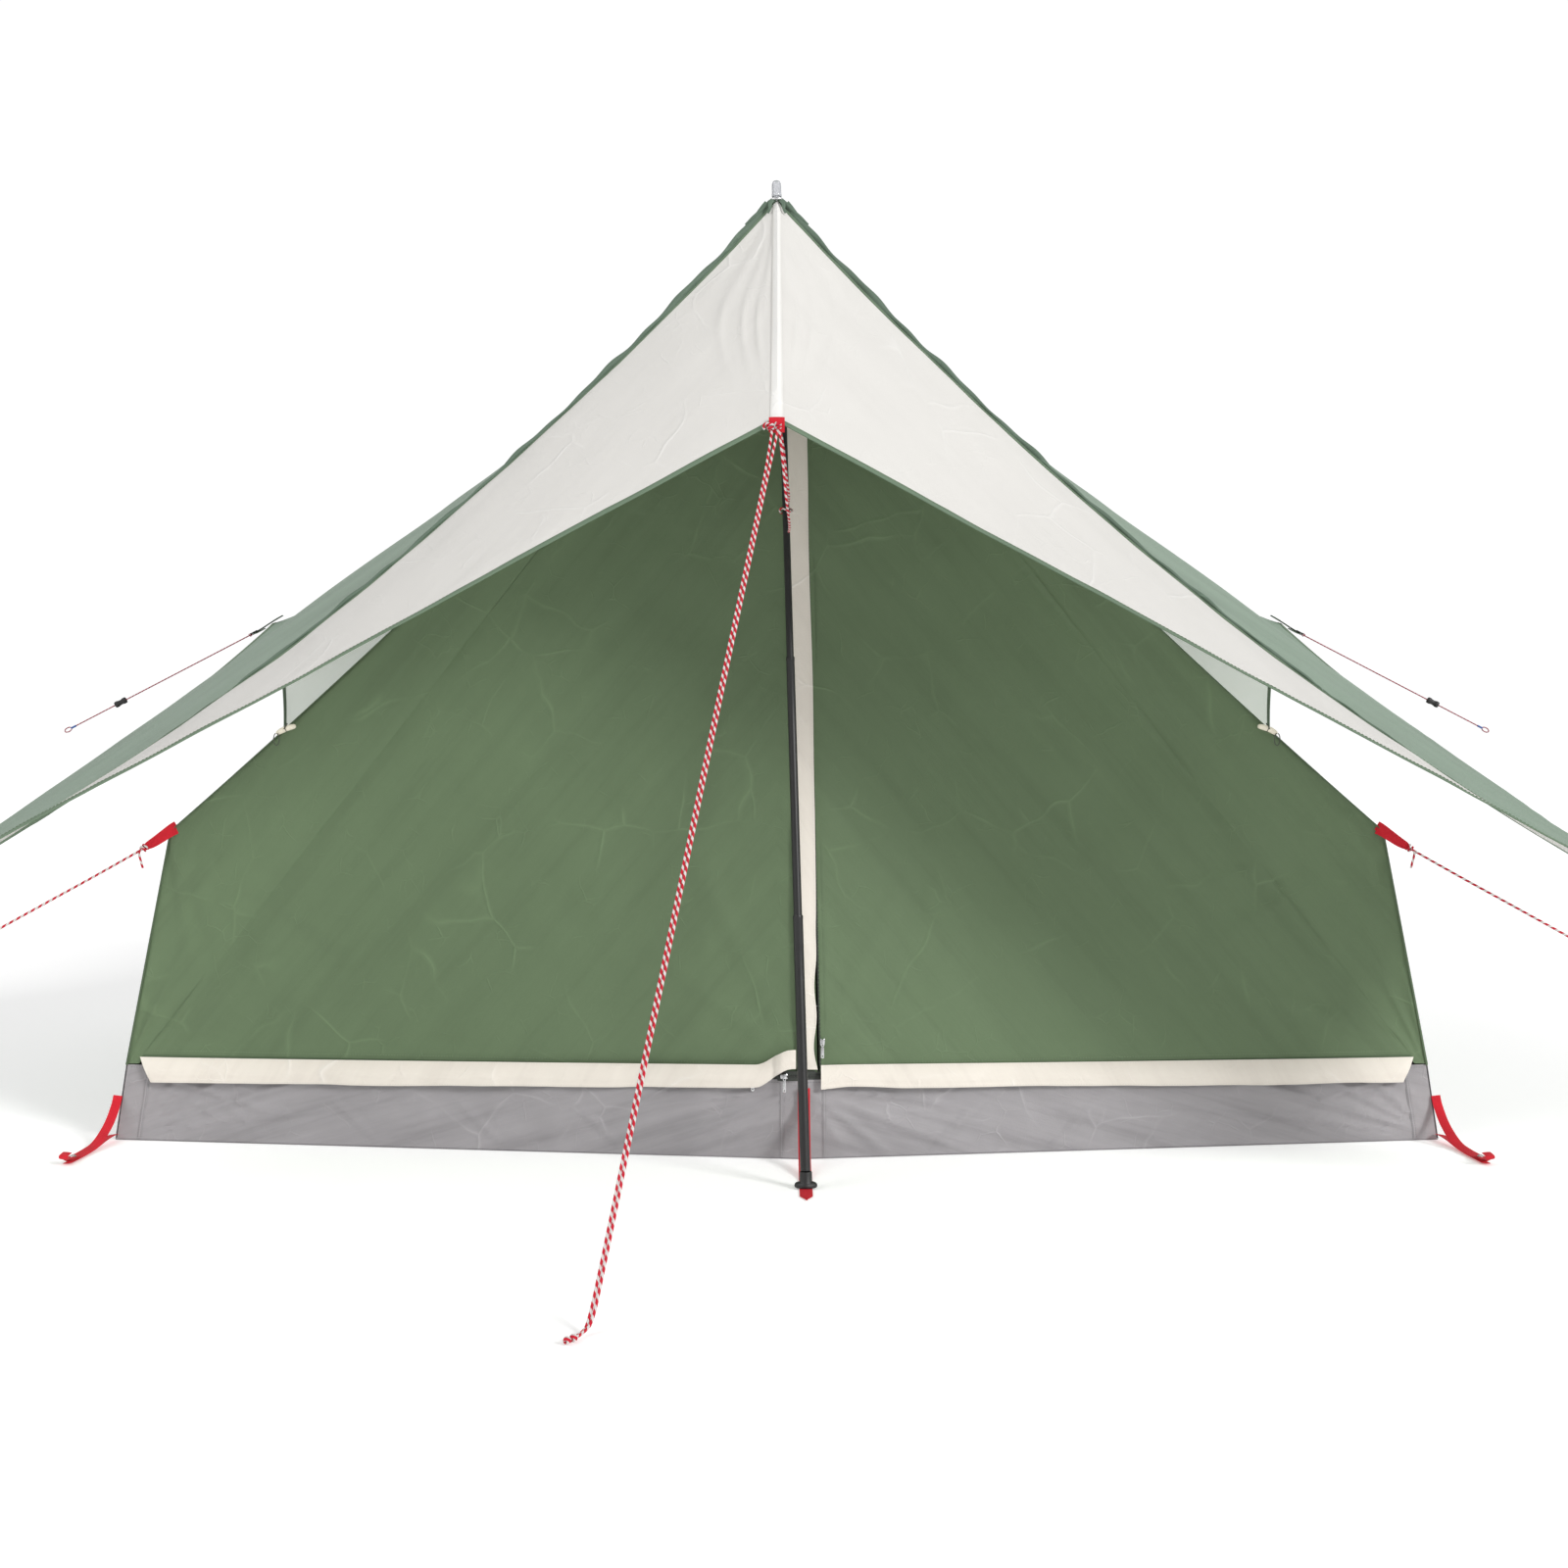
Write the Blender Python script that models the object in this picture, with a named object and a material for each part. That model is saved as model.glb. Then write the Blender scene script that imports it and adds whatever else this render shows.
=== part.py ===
"""An A-frame tent: two telescoping poles, an inner tent with a two-leaf zipped door, and a flysheet.

Metres, +Z up, +X to the right of a person who looks at the door, +Y towards the rear.
The origin is the centre of the groundsheet's underside.
"""

import math

import bmesh
import bpy
import numpy as np
from mathutils import Vector

# ---- driving dimensions ----
BASE_HALF_WIDTH = 1.46
BASE_HALF_DEPTH = 1.05
BASE_NOSE = (0.05, 1.265)        # the base's pulled-out middle, front and rear
TUB_TOP = 0.165
TUB_TOP_HALF_WIDTH = 1.436
EAVE = (1.322, 1.10, 0.683)
APEX = (0.0, 1.22, 1.93)
INNER_SAG = 0.03

PEAK = (0.0, 1.25, 2.023)
BEAK_TIP = (0.0, 1.70, 1.482)
FLY_CORNER = (1.95, 1.90, 0.40)
FLY_MIDDLE_EDGE = (1.373, 0.0, 1.203)
RIDGE_MIDDLE = 2.0
SEAM_SAG = 0.17
MIDDLE_SAG = 0.07
EDGE_SAG = 0.08
ROOF_CROWN = 0.10
PEAK_NOTCH = 0.015                # how far the fly's edges stay from the middle of each peak

POLE_FOOT = (0.057, 1.55, 0.002)
POLE_LEVELS = (0.034, 0.53, 1.05, 1.56, 1.985)   # heights where the pole's sections show their ends
POLE_DIAMETERS = (0.0200, 0.0170, 0.0145, 0.0125)
POLE_WALL = 0.0009
POLE_OVERLAP = 0.05
LIP_ROUND = 0.0006
TIP_TOP = 2.062
TIP_CAP_HEIGHT = 0.036
TIP_CAP_RADIUS = 0.0105

FABRIC = 0.0012
FLY_CLOTH = 0.0014
WEBBING = 0.0015
GAP = 0.003
FLAT_WITHIN = 0.00001            # a four-cornered face that twists more than this is built as triangles
FLAP_STAND_OFF = 0.016
SEAM_X = (0.088, 0.050)          # the door's middle zip, at its foot and its head
DOOR_FOOT = 0.183
ZIP_HEIGHT = 0.174
FLAP_HEIGHTS = (0.134, 0.189)

FRONT, REAR = -1, 1
LEFT, RIGHT = -1, 1

COLOURS = {
    "inner_green": ((0.112, 0.172, 0.085), 0.75, 0.0),
    "fly_green": ((0.350, 0.445, 0.350), 0.70, 0.0),
    "beak_white": ((0.79, 0.78, 0.74), 0.75, 0.0),
    "cream": ((0.87, 0.81, 0.68), 0.80, 0.0),
    "groundsheet_grey": ((0.34, 0.32, 0.34), 0.60, 0.0),
    "red_webbing": ((0.66, 0.012, 0.025), 0.75, 0.0),
    "black_steel": ((0.020, 0.020, 0.022), 0.40, 0.3),
    "black_plastic": ((0.018, 0.018, 0.018), 0.50, 0.0),
    "bright_metal": ((0.72, 0.72, 0.72), 0.28, 1.0),
    "clear_plastic": ((0.80, 0.82, 0.85), 0.15, 0.0),
    "cord_white": ((0.75, 0.62, 0.60), 0.85, 0.0),
}


# ---- building blocks ----
def clear_scene():
    for item in list(bpy.data.objects):
        bpy.data.objects.remove(item, do_unlink=True)


def material(name):
    found = bpy.data.materials.get(name)
    if found:
        return found
    colour, roughness, metallic = COLOURS[name]
    found = bpy.data.materials.new(name)
    found.use_nodes = True
    shader = found.node_tree.nodes["Principled BSDF"]
    shader.inputs["Base Color"].default_value = (*colour, 1.0)
    shader.inputs["Roughness"].default_value = roughness
    shader.inputs["Metallic"].default_value = metallic
    found.diffuse_color = (*colour, 1.0)
    return found


def add_mesh(name, points, faces, finish, origin=(0, 0, 0), smooth=False):
    """A mesh object from world points and evenly wound faces, with its origin at origin."""
    origin = Vector(origin)
    mesh = bpy.data.meshes.new(name)
    mesh.from_pydata([tuple(Vector(p) - origin) for p in points], [], faces)
    built = bmesh.new()
    built.from_mesh(mesh)
    if built.calc_volume(signed=True) < 0:
        bmesh.ops.reverse_faces(built, faces=built.faces)
    built.to_mesh(mesh)
    built.free()
    mesh.materials.append(material(finish))
    if smooth:
        mesh.shade_smooth()
        mesh.set_sharp_from_angle(angle=math.radians(40))
    item = bpy.data.objects.new(name, mesh)
    item.location = origin
    bpy.context.scene.collection.objects.link(item)
    return item


def flat_parts(ring, points):
    """The four-cornered face itself where it is flat, and otherwise its two triangles."""
    a, b, c, d = points[ring]
    normal = np.cross(c - a, d - b)
    twist = abs(np.dot(normal, b - a)) / np.linalg.norm(normal)
    return [ring] if twist < FLAT_WITHIN else [[ring[0], ring[1], ring[2]], [ring[0], ring[2], ring[3]]]


def sheet(name, grid, finish, thickness=FABRIC, origin=(0, 0, 0)):
    """A closed sheet of even thickness on a grid of points, shape (rows, columns, 3)."""
    grid = np.asarray(grid, float)
    rows, columns = grid.shape[:2]
    normal = np.cross(np.gradient(grid, axis=0), np.gradient(grid, axis=1))
    normal /= np.linalg.norm(normal, axis=2, keepdims=True)
    half = normal * thickness / 2
    points = np.concatenate([(grid + half).reshape(-1, 3), (grid - half).reshape(-1, 3)])
    under = rows * columns

    middle = grid.reshape(-1, 3)

    def at(row, column):
        return row * columns + column

    faces = []
    for r in range(rows - 1):
        for c in range(columns - 1):
            for ring in flat_parts([at(r, c), at(r + 1, c), at(r + 1, c + 1), at(r, c + 1)], middle):
                faces.append(ring)
                faces.append([under + i for i in reversed(ring)])
    rim = [at(0, c) for c in range(columns)]
    rim += [at(r, columns - 1) for r in range(1, rows)]
    rim += [at(rows - 1, c) for c in range(columns - 2, -1, -1)]
    rim += [at(r, 0) for r in range(rows - 2, 0, -1)]
    for a, b in zip(rim, rim[1:] + rim[:1]):
        faces.append([a, b, under + b, under + a])
    return add_mesh(name, points, faces, finish, origin, smooth=True)


def ruled(first, second, across):
    """The grid between two rows of points."""
    first, second = np.asarray(first, float), np.asarray(second, float)
    return np.stack([first + (second - first) * t for t in across], axis=1)


def line(start, end, count=2):
    start, end = np.asarray(start, float), np.asarray(end, float)
    return np.array([start + (end - start) * t for t in np.linspace(0, 1, count)])


def frame_along(direction):
    along = Vector(direction).normalized()
    side = along.cross(Vector((0, 1, 0)))
    if side.length < 0.1:
        side = along.cross(Vector((1, 0, 0)))
    side.normalize()
    return along, side, along.cross(side).normalized()


def turned(name, profile, start, direction, finish, segments=24, lobes=0.0, origin=None):
    """A turned piece: profile holds (radius, height) pairs and closes on itself, or on the axis where
    its first and last radius are 0. lobes pushes the outline out on two opposite sides."""
    along, side, other = frame_along(direction)
    start = Vector(start)
    solid = profile[0][0] == 0
    rings = profile[1:-1] if solid else profile
    points = []
    for radius, height in rings:
        for k in range(segments):
            angle = math.tau * k / segments
            reach = radius + lobes * math.cos(angle) ** 4
            outwards = side * math.cos(angle) + other * math.sin(angle)
            points.append(start + along * height + outwards * reach)
    faces = []
    count = len(rings)
    for r in range(count - 1 if solid else count):
        after = (r + 1) % count
        for k in range(segments):
            near = (k + 1) % segments
            low, high = r * segments, after * segments
            faces.append([low + k, low + near, high + near, high + k])
    if solid:
        for ring, (_, height) in ((0, profile[0]), (count - 1, profile[-1])):
            points.append(start + along * height)
            hub = len(points) - 1
            for k in range(segments):
                edge = [ring * segments + k, ring * segments + (k + 1) % segments]
                faces.append([hub, *(edge if ring else reversed(edge))])
    return add_mesh(name, points, faces, finish, start if origin is None else origin, smooth=True)


def ribbon(name, route, width, across, finish, thickness=WEBBING, taper=None, origin=(0, 0, 0)):
    """A flat strap along route, width metres wide along the vector across. taper scales it at each point."""
    route = np.asarray(route, float)
    across = np.asarray(across, float) / np.linalg.norm(across)
    scale = np.ones(len(route)) if taper is None else np.asarray(taper, float)
    reach = across[None, :] * (width / 2 * scale)[:, None]
    return sheet(name, np.stack([route - reach, route + reach], axis=1), finish, thickness, origin)


def smooth_route(points, count):
    """Points read evenly from a Catmull-Rom curve through the given ones."""
    points = [Vector(p) for p in points]
    points = [points[0] * 2 - points[1]] + points + [points[-1] * 2 - points[-2]]
    dense = []
    for a, b, c, d in zip(points, points[1:], points[2:], points[3:]):
        for t in np.linspace(0, 1, 24, endpoint=False):
            dense.append(0.5 * (2 * b + (c - a) * t + (2 * a - 5 * b + 4 * c - d) * t**2
                                + (3 * b - a - 3 * c + d) * t**3))
    dense.append(points[-2])
    dense = np.array([tuple(p) for p in dense])
    steps = np.concatenate([[0], np.cumsum(np.linalg.norm(np.diff(dense, axis=0), axis=1))])
    wanted = np.linspace(0, steps[-1], count)
    return np.stack([np.interp(wanted, steps, dense[:, k]) for k in range(3)], axis=1)


def cord(name, route, diameter, count):
    curve = bpy.data.curves.new(name, "CURVE")
    curve.dimensions = "3D"
    curve.bevel_depth = diameter / 2
    curve.bevel_resolution = 2
    curve.use_fill_caps = True
    spline = curve.splines.new("POLY")
    points = smooth_route(route, count)
    spline.points.add(len(points) - 1)
    for knot, point in zip(spline.points, points):
        knot.co = (*point, 1.0)
    curve.materials.append(material("cord_white"))
    item = bpy.data.objects.new(name, curve)
    bpy.context.scene.collection.objects.link(item)
    return item


def place(triple, x_side, y_side):
    return np.array([triple[0] * x_side, triple[1] * y_side, triple[2]])


def side_name(x_side):
    return "left" if x_side == LEFT else "right"


# ---- poles ----
def pole_point(end, height):
    """The point on a pole's axis at a height."""
    foot, peak = place(POLE_FOOT, 1, end), place(PEAK, 1, end)
    return foot + (peak - foot) * (height - foot[2]) / (peak[2] - foot[2])


def pole(end, where):
    axis = place(PEAK, 1, end) - place(POLE_FOOT, 1, end)
    slant = np.linalg.norm(axis) / axis[2]
    foot_profile = [(0, 0.0), (0.0150, 0.0), (0.0165, 0.003), (0.0150, 0.008), (0.0125, 0.012),
                    (0.0118, 0.030), (0, 0.030)]
    turned(f"pole_foot_{where}", foot_profile, place(POLE_FOOT, 1, end), (0, 0, 1), "black_plastic",
           lobes=0.0055)
    for k, diameter in enumerate(POLE_DIAMETERS):
        low = POLE_LEVELS[k] - (POLE_OVERLAP if k else 0.0)
        length = (POLE_LEVELS[k + 1] - low) * slant
        outer, inner = diameter / 2, diameter / 2 - POLE_WALL
        profile = [(outer, 0), (outer, length - LIP_ROUND), (outer - LIP_ROUND / 2, length),
                   (inner, length), (inner, 0)]
        turned(f"pole_tube_{k + 1}_{where}", profile, pole_point(end, low), axis, "black_steel",
               segments=20)
    start = POLE_LEVELS[-1] + 0.0005
    length = (TIP_TOP - start) * slant
    neck = length - TIP_CAP_HEIGHT
    turned(f"pole_tip_{where}", [(0, 0), (0.0055, 0), (0.0055, neck), (TIP_CAP_RADIUS, neck + 0.002),
                                 (TIP_CAP_RADIUS - 0.001, length - 0.002), (TIP_CAP_RADIUS - 0.003, length),
                                 (0, length)],
           pole_point(end, start), axis, "clear_plastic", segments=16)


# ---- the inner tent ----
def slope_edge(x_side, y_side, count):
    """The sagging edge between the inner roof and an end wall, from eave to apex."""
    low, high = place(EAVE, x_side, y_side), place(APEX, x_side, y_side)
    edge = line(low, high, count)
    along = np.linspace(0, 1, count)
    edge[:, 2] -= INNER_SAG * 4 * along * (1 - along)
    return edge


def base_points(y_side):
    corner = (BASE_HALF_WIDTH, BASE_HALF_DEPTH * y_side)
    nose = (BASE_NOSE[0], BASE_NOSE[1] * y_side)
    return (-corner[0], corner[1]), nose, corner


def groundsheet():
    front, rear = base_points(FRONT), base_points(REAR)
    outline = [front[0], front[1], front[2], rear[2], rear[1], rear[0]]
    low = [(x, y, 0.0) for x, y in outline]
    high = [(x, y, FABRIC) for x, y in outline]
    faces = [[5, 4, 3, 2, 1, 0], [6, 7, 8, 9, 10, 11]]
    faces += [[k, (k + 1) % 6, 6 + (k + 1) % 6, 6 + k] for k in range(6)]
    add_mesh("groundsheet_floor", low + high, faces, "groundsheet_grey")


def tub_line(y_side, height, inset=GAP):
    """The end wall's line at the top or the foot of the tub: left, nose, right."""
    share = height / TUB_TOP
    half = BASE_HALF_WIDTH + (TUB_TOP_HALF_WIDTH - BASE_HALF_WIDTH) * share - inset
    return [np.array((-half, BASE_HALF_DEPTH * y_side, height)),
            np.array((BASE_NOSE[0], (BASE_NOSE[1] - 0.003 * share) * y_side, height)),
            np.array((half, BASE_HALF_DEPTH * y_side, height))]


def tub():
    foot = FABRIC + 0.0004
    for x_side in (LEFT, RIGHT):
        low, high = tub_line(FRONT, foot), tub_line(FRONT, TUB_TOP)
        aside = np.array((x_side * 0.002, 0, 0))
        first, last = 1 + x_side, 1
        foot_edge = line(low[first], low[last] + aside, 4)
        top_edge = line(high[first], high[last] + aside, 4)
        sheet(f"tub_front_{side_name(x_side)}", ruled(foot_edge, top_edge, (0, 0.5, 1)), "groundsheet_grey")
        reach = BASE_HALF_DEPTH - 2 * GAP
        foot_x, top_x = x_side * BASE_HALF_WIDTH, x_side * TUB_TOP_HALF_WIDTH
        foot_edge = line((foot_x, -reach, foot), (foot_x, reach, foot), 3)
        top_edge = line((top_x, -reach, TUB_TOP), (top_x, reach, TUB_TOP), 3)
        sheet(f"tub_{side_name(x_side)}", ruled(foot_edge, top_edge, (0, 1)), "groundsheet_grey")
    low, high = tub_line(REAR, foot), tub_line(REAR, TUB_TOP)
    sheet("tub_rear", ruled(low, high, (0, 1)), "groundsheet_grey")


def inner_walls():
    foot = TUB_TOP + GAP
    for x_side in (LEFT, RIGHT):
        low = line((x_side * TUB_TOP_HALF_WIDTH, -BASE_HALF_DEPTH + 2 * GAP, foot),
                   (x_side * TUB_TOP_HALF_WIDTH, BASE_HALF_DEPTH - 2 * GAP, foot), 3)
        eave = (EAVE[0], EAVE[1] - 2 * GAP, EAVE[2] - GAP)
        high = line(place(eave, x_side, FRONT), place(eave, x_side, REAR), 3)
        sheet(f"inner_wall_{side_name(x_side)}", ruled(low, high, (0, 0.5, 1)), "inner_green")
        count = 9
        front, rear = slope_edge(x_side, FRONT, count), slope_edge(x_side, REAR, count)
        for edge, y_side in ((front, FRONT), (rear, REAR)):
            edge[:, 1] -= y_side * 2 * GAP
        trim = np.linspace(GAP / EAVE[0], 1 - GAP / EAVE[0], count)
        spots = np.linspace(0, 1, count)
        front = np.stack([np.interp(trim, spots, front[:, k]) for k in range(3)], axis=1)
        rear = np.stack([np.interp(trim, spots, rear[:, k]) for k in range(3)], axis=1)
        sheet(f"inner_roof_{side_name(x_side)}", ruled(front, rear, np.linspace(0, 1, 5)), "inner_green")


def end_wall_outline(x_side, y_side, slope_count):
    """The outer edge of half an end wall, from the tub up over the eave to the apex."""
    foot = (TUB_TOP_HALF_WIDTH - GAP - 0.001, BASE_HALF_DEPTH + 0.002, TUB_TOP + 0.013)
    rise = line(place(foot, x_side, y_side), place(EAVE, x_side, y_side), 4)
    return np.concatenate([rise[:-1], slope_edge(x_side, y_side, slope_count)])


def spaced_like(outline, start, end):
    """Points on a straight line, spaced as the outline's points are."""
    steps = np.concatenate([[0], np.cumsum(np.linalg.norm(np.diff(outline, axis=0), axis=1))])
    start, end = np.asarray(start, float), np.asarray(end, float)
    return np.array([start + (end - start) * s / steps[-1] for s in steps])


def fold_line(x_side):
    """The line that a door leaf hinges on: from the tub's outer corner to just below the apex."""
    foot = np.array((x_side * 1.405, -(BASE_HALF_DEPTH + 0.007), DOOR_FOOT - 0.002))
    head = np.array((x_side * 0.030, -(APEX[1] - 0.004), APEX[2] - 0.030))
    return foot, head


def gussets():
    for x_side in (LEFT, RIGHT):
        outline = end_wall_outline(x_side, FRONT, 9)
        outline[-1] = (x_side * 0.012, -APEX[1] + 0.002, APEX[2] - 0.014)
        foot, head = fold_line(x_side)
        grid = ruled(outline, spaced_like(outline, foot, head), (0, 0.5, 1))
        sheet(f"door_gusset_{side_name(x_side)}", grid, "inner_green")


def rear_wall():
    """Both halves meet on a line from the tub's pulled-out middle to the apex."""
    left, right = end_wall_outline(LEFT, REAR, 9), end_wall_outline(RIGHT, REAR, 9)
    left[-1, 0], right[-1, 0] = -0.012, 0.012
    left[-1, 2] = right[-1, 2] = APEX[2] - 0.014
    foot, head = (BASE_NOSE[0], BASE_NOSE[1] - GAP, TUB_TOP + 0.013), (0, APEX[1], APEX[2] - 0.012)
    middle = spaced_like(left, foot, head)
    across = np.linspace(0, 1, 4)
    left_half, right_half = ruled(left, middle, across), ruled(middle, right, across)
    sheet("rear_wall", np.concatenate([left_half, right_half[:, 1:]], axis=1), "inner_green")


def seam_x(height):
    share = (height - DOOR_FOOT) / (1.86 - DOOR_FOOT)
    return SEAM_X[0] + (SEAM_X[1] - SEAM_X[0]) * share


def front_y(x, most=1.0):
    """The front's y at the zip line, at a distance x from the middle. most lets it run past the nose."""
    corner, nose = TUB_TOP_HALF_WIDTH, BASE_NOSE[0]
    share = (corner - abs(x)) / (corner - nose * np.sign(x) if x else corner)
    return -(BASE_HALF_DEPTH + (BASE_NOSE[1] - GAP - BASE_HALF_DEPTH) * min(share, most))


def door_corners(x_side):
    """A leaf's corners: foot at the fold line, foot at the zip, head at the zip, head at the fold line."""
    foot, head = fold_line(x_side)
    zip_gap = 0.003 * x_side
    inset = 0.012
    near = np.array((x_side * (1.405 - inset), front_y(1.405 - inset), DOOR_FOOT))
    middle_foot = np.array((seam_x(DOOR_FOOT) + zip_gap, front_y(seam_x(DOOR_FOOT)), DOOR_FOOT))
    if x_side == LEFT:
        middle_head = np.array((seam_x(1.86) - 0.003, -APEX[1] + 0.003, 1.855))
        top = np.array((-0.016, -APEX[1] + 0.003, 1.872))
    else:
        middle_head = np.array((seam_x(1.84) + 0.003, -APEX[1] + 0.003, 1.850))
        top = np.array((0.072, -APEX[1] + 0.003, 1.828))
    return near, middle_foot, middle_head, top


def doors():
    for x_side in (LEFT, RIGHT):
        near, middle_foot, middle_head, top = door_corners(x_side)
        grid = ruled(line(near, top, 9), line(middle_foot, middle_head, 9), (0, 0.5, 1))
        sheet(f"door_{side_name(x_side)}", grid, "inner_green", origin=fold_line(x_side)[0])


def storm_flaps():
    low, high = FLAP_HEIGHTS
    for x_side, inner_end in ((LEFT, -0.090), (RIGHT, 0.105)):
        outer_end = x_side * 1.395
        shift = np.array((0, -FLAP_STAND_OFF, 0))
        top = np.array([(x, front_y(x), high) + shift for x in np.linspace(outer_end, inner_end, 5)])
        bottom = np.array([(x, front_y(x), low) + shift
                           for x in np.linspace(outer_end - x_side * 0.025, inner_end, 5)])
        sheet(f"storm_flap_{side_name(x_side)}", ruled(top, bottom, (0, 1)), "cream")
    rows = []
    for height in np.linspace(0.200, 1.80, 7):
        share = (height - DOOR_FOOT) / (1.855 - DOOR_FOOT)
        y = front_y(0.09) + (-APEX[1] + 0.003 - front_y(0.09)) * share - 0.002
        rows.append([(seam_x(height) - 0.046, y, height), (seam_x(height) - 0.002, y, height)])
    sheet("storm_flap_middle", np.array(rows), "cream", origin=fold_line(LEFT)[0])


def block(name, centre, along, size, finish, origin=None, taper=1.0):
    """A box of size (along, out, up) that leans with the front, a little narrower at its foot."""
    along = Vector(along).normalized()
    out = Vector((-along.y, along.x, 0)).normalized()
    centre = Vector(centre)
    points = []
    for up in (-0.5, 0.5):
        wide = taper if up < 0 else 1.0
        for a, b in ((-0.5, -0.5), (0.5, -0.5), (0.5, 0.5), (-0.5, 0.5)):
            aside = along * a * size[0] * wide + out * b * size[1]
            points.append(centre + aside + Vector((0, 0, up * size[2])))
    faces = [[3, 2, 1, 0], [4, 5, 6, 7]] + [[k, (k + 1) % 4, 4 + (k + 1) % 4, 4 + k] for k in range(4)]
    return add_mesh(name, points, faces, finish, centre if origin is None else origin)


def zip_direction(x_side):
    start = np.array((BASE_NOSE[0], front_y(BASE_NOSE[0]), ZIP_HEIGHT))
    end = np.array((x_side * 1.3, front_y(1.3), ZIP_HEIGHT))
    return (end - start) / np.linalg.norm(end - start)


def slider_places():
    """Each zip slider's name, centre and the way along its zip."""
    middle = 0.245
    seam = np.array((seam_x(1.6) - seam_x(0.3), 0.0, 1.3))
    return (("left", (-0.050, front_y(-0.050), ZIP_HEIGHT), zip_direction(LEFT)),
            ("right", (0.015, front_y(0.015, most=2.0), ZIP_HEIGHT), zip_direction(RIGHT)),
            ("middle", (seam_x(middle) + 0.0095, front_y(0.1) - 0.0055, middle), seam / np.linalg.norm(seam)))


def sliders():
    for name, centre, way in slider_places():
        flat = name != "middle"
        along = way if flat else (1, 0, 0)
        size = (0.014, 0.007, 0.010) if flat else (0.010, 0.007, 0.014)
        block(f"zip_slider_{name}", centre, along, size, "bright_metal", taper=0.8)
        pivot = np.array(centre) + (0, -0.0060, -0.002)
        block(f"zip_pull_{name}", pivot + (0, 0, -0.0155), along, (0.007, 0.0014, 0.031), "bright_metal",
              origin=pivot, taper=1.3)


def toggle_place(x_side):
    return np.array((x_side * 1.057, -1.158, 0.903))


def toggles():
    for x_side in (LEFT, RIGHT):
        centre = toggle_place(x_side)
        profile = [(0, -0.020), (0.0045, -0.020), (0.0072, -0.016), (0.0076, 0.0), (0.0072, 0.016),
                   (0.0045, 0.020), (0, 0.020)]
        turned(f"door_toggle_{side_name(x_side)}", profile, centre, (1, 0, -0.12 * x_side), "cream",
               segments=16, origin=centre + (0, 0, 0.012))


# ---- straps ----
def apex_loops():
    for y_side, where in ((FRONT, "front"), (REAR, "rear")):
        height = APEX[2] - 0.012
        hub = pole_point(y_side, height)
        radius = TIP_CAP_RADIUS + 0.0027
        turn = [hub + (radius * math.sin(a), y_side * radius * math.cos(a), 0)
                for a in np.linspace(-0.80 * math.pi, 0.80 * math.pi, 13)]
        back = APEX[1] + 0.0035
        route = [(-0.0025, y_side * back, height)] + turn + [(0.0025, y_side * back, height)]
        ribbon(f"apex_loop_{where}", route, 0.015, (0, 0, 1), "red_webbing", 0.0012)


def middle_straps():
    for y_side, where in ((FRONT, "front"), (REAR, "rear")):
        x = POLE_FOOT[0]
        route = [(x, y_side * (BASE_NOSE[1] + 0.0035), 0.150), (x, y_side * (BASE_NOSE[1] + 0.012), 0.105),
                 (x, y_side * 1.345, 0.040), (x, y_side * 1.430, 0.010), (x, y_side * 1.490, WEBBING / 2),
                 (x, y_side * 1.600, WEBBING / 2), (x, y_side * 1.630, WEBBING / 2),
                 (x, y_side * 1.655, WEBBING / 2)]
        ribbon(f"middle_strap_{where}", route, 0.025, (1, 0, 0), "red_webbing",
               taper=(1, 1, 1, 1, 1, 1, 0.9, 0.12))


CORNER_STRAP = [(1.4600, 1.0570, 0.050), (1.4650, 1.1000, 0.032), (1.4685, 1.1700, 0.010),
                (1.4710, 1.2500, 0.0012), (1.4730, 1.3350, 0.0012)]


def corner_straps():
    for y_side, where in ((FRONT, "front"), (REAR, "rear")):
        for x_side in (LEFT, RIGHT):
            route = [place(point, x_side, y_side) for point in CORNER_STRAP]
            ribbon(f"corner_strap_{where}_{side_name(x_side)}", route, 0.022, (1, 0, 0), "red_webbing")


def side_straps():
    """The short strap and ladder buckle at the middle of each fly edge, and the runner on its guy line."""
    for x_side in (LEFT, RIGHT):
        start = np.array((x_side * (FLY_MIDDLE_EDGE[0] + 0.004), 0, FLY_MIDDLE_EDGE[2] - 0.004))
        end = np.array((x_side * 1.430, 0, 1.173))
        ribbon(f"side_strap_{side_name(x_side)}", line(start, end, 3), 0.020, (0, 1, 0), "fly_green", 0.0025)
        way = np.array(SIDE_GUY[-1]) - np.array(SIDE_GUY[0])
        way = way * (x_side, 1, 1)
        centre = np.array(RUNNER) * (x_side, 1, 1)
        turned(f"guy_runner_{side_name(x_side)}",
               [(0.0085, -0.017), (0.0085, 0.017), (0.0028, 0.017), (0.0028, -0.017)],
               centre, way, "black_plastic", segments=12)


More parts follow.
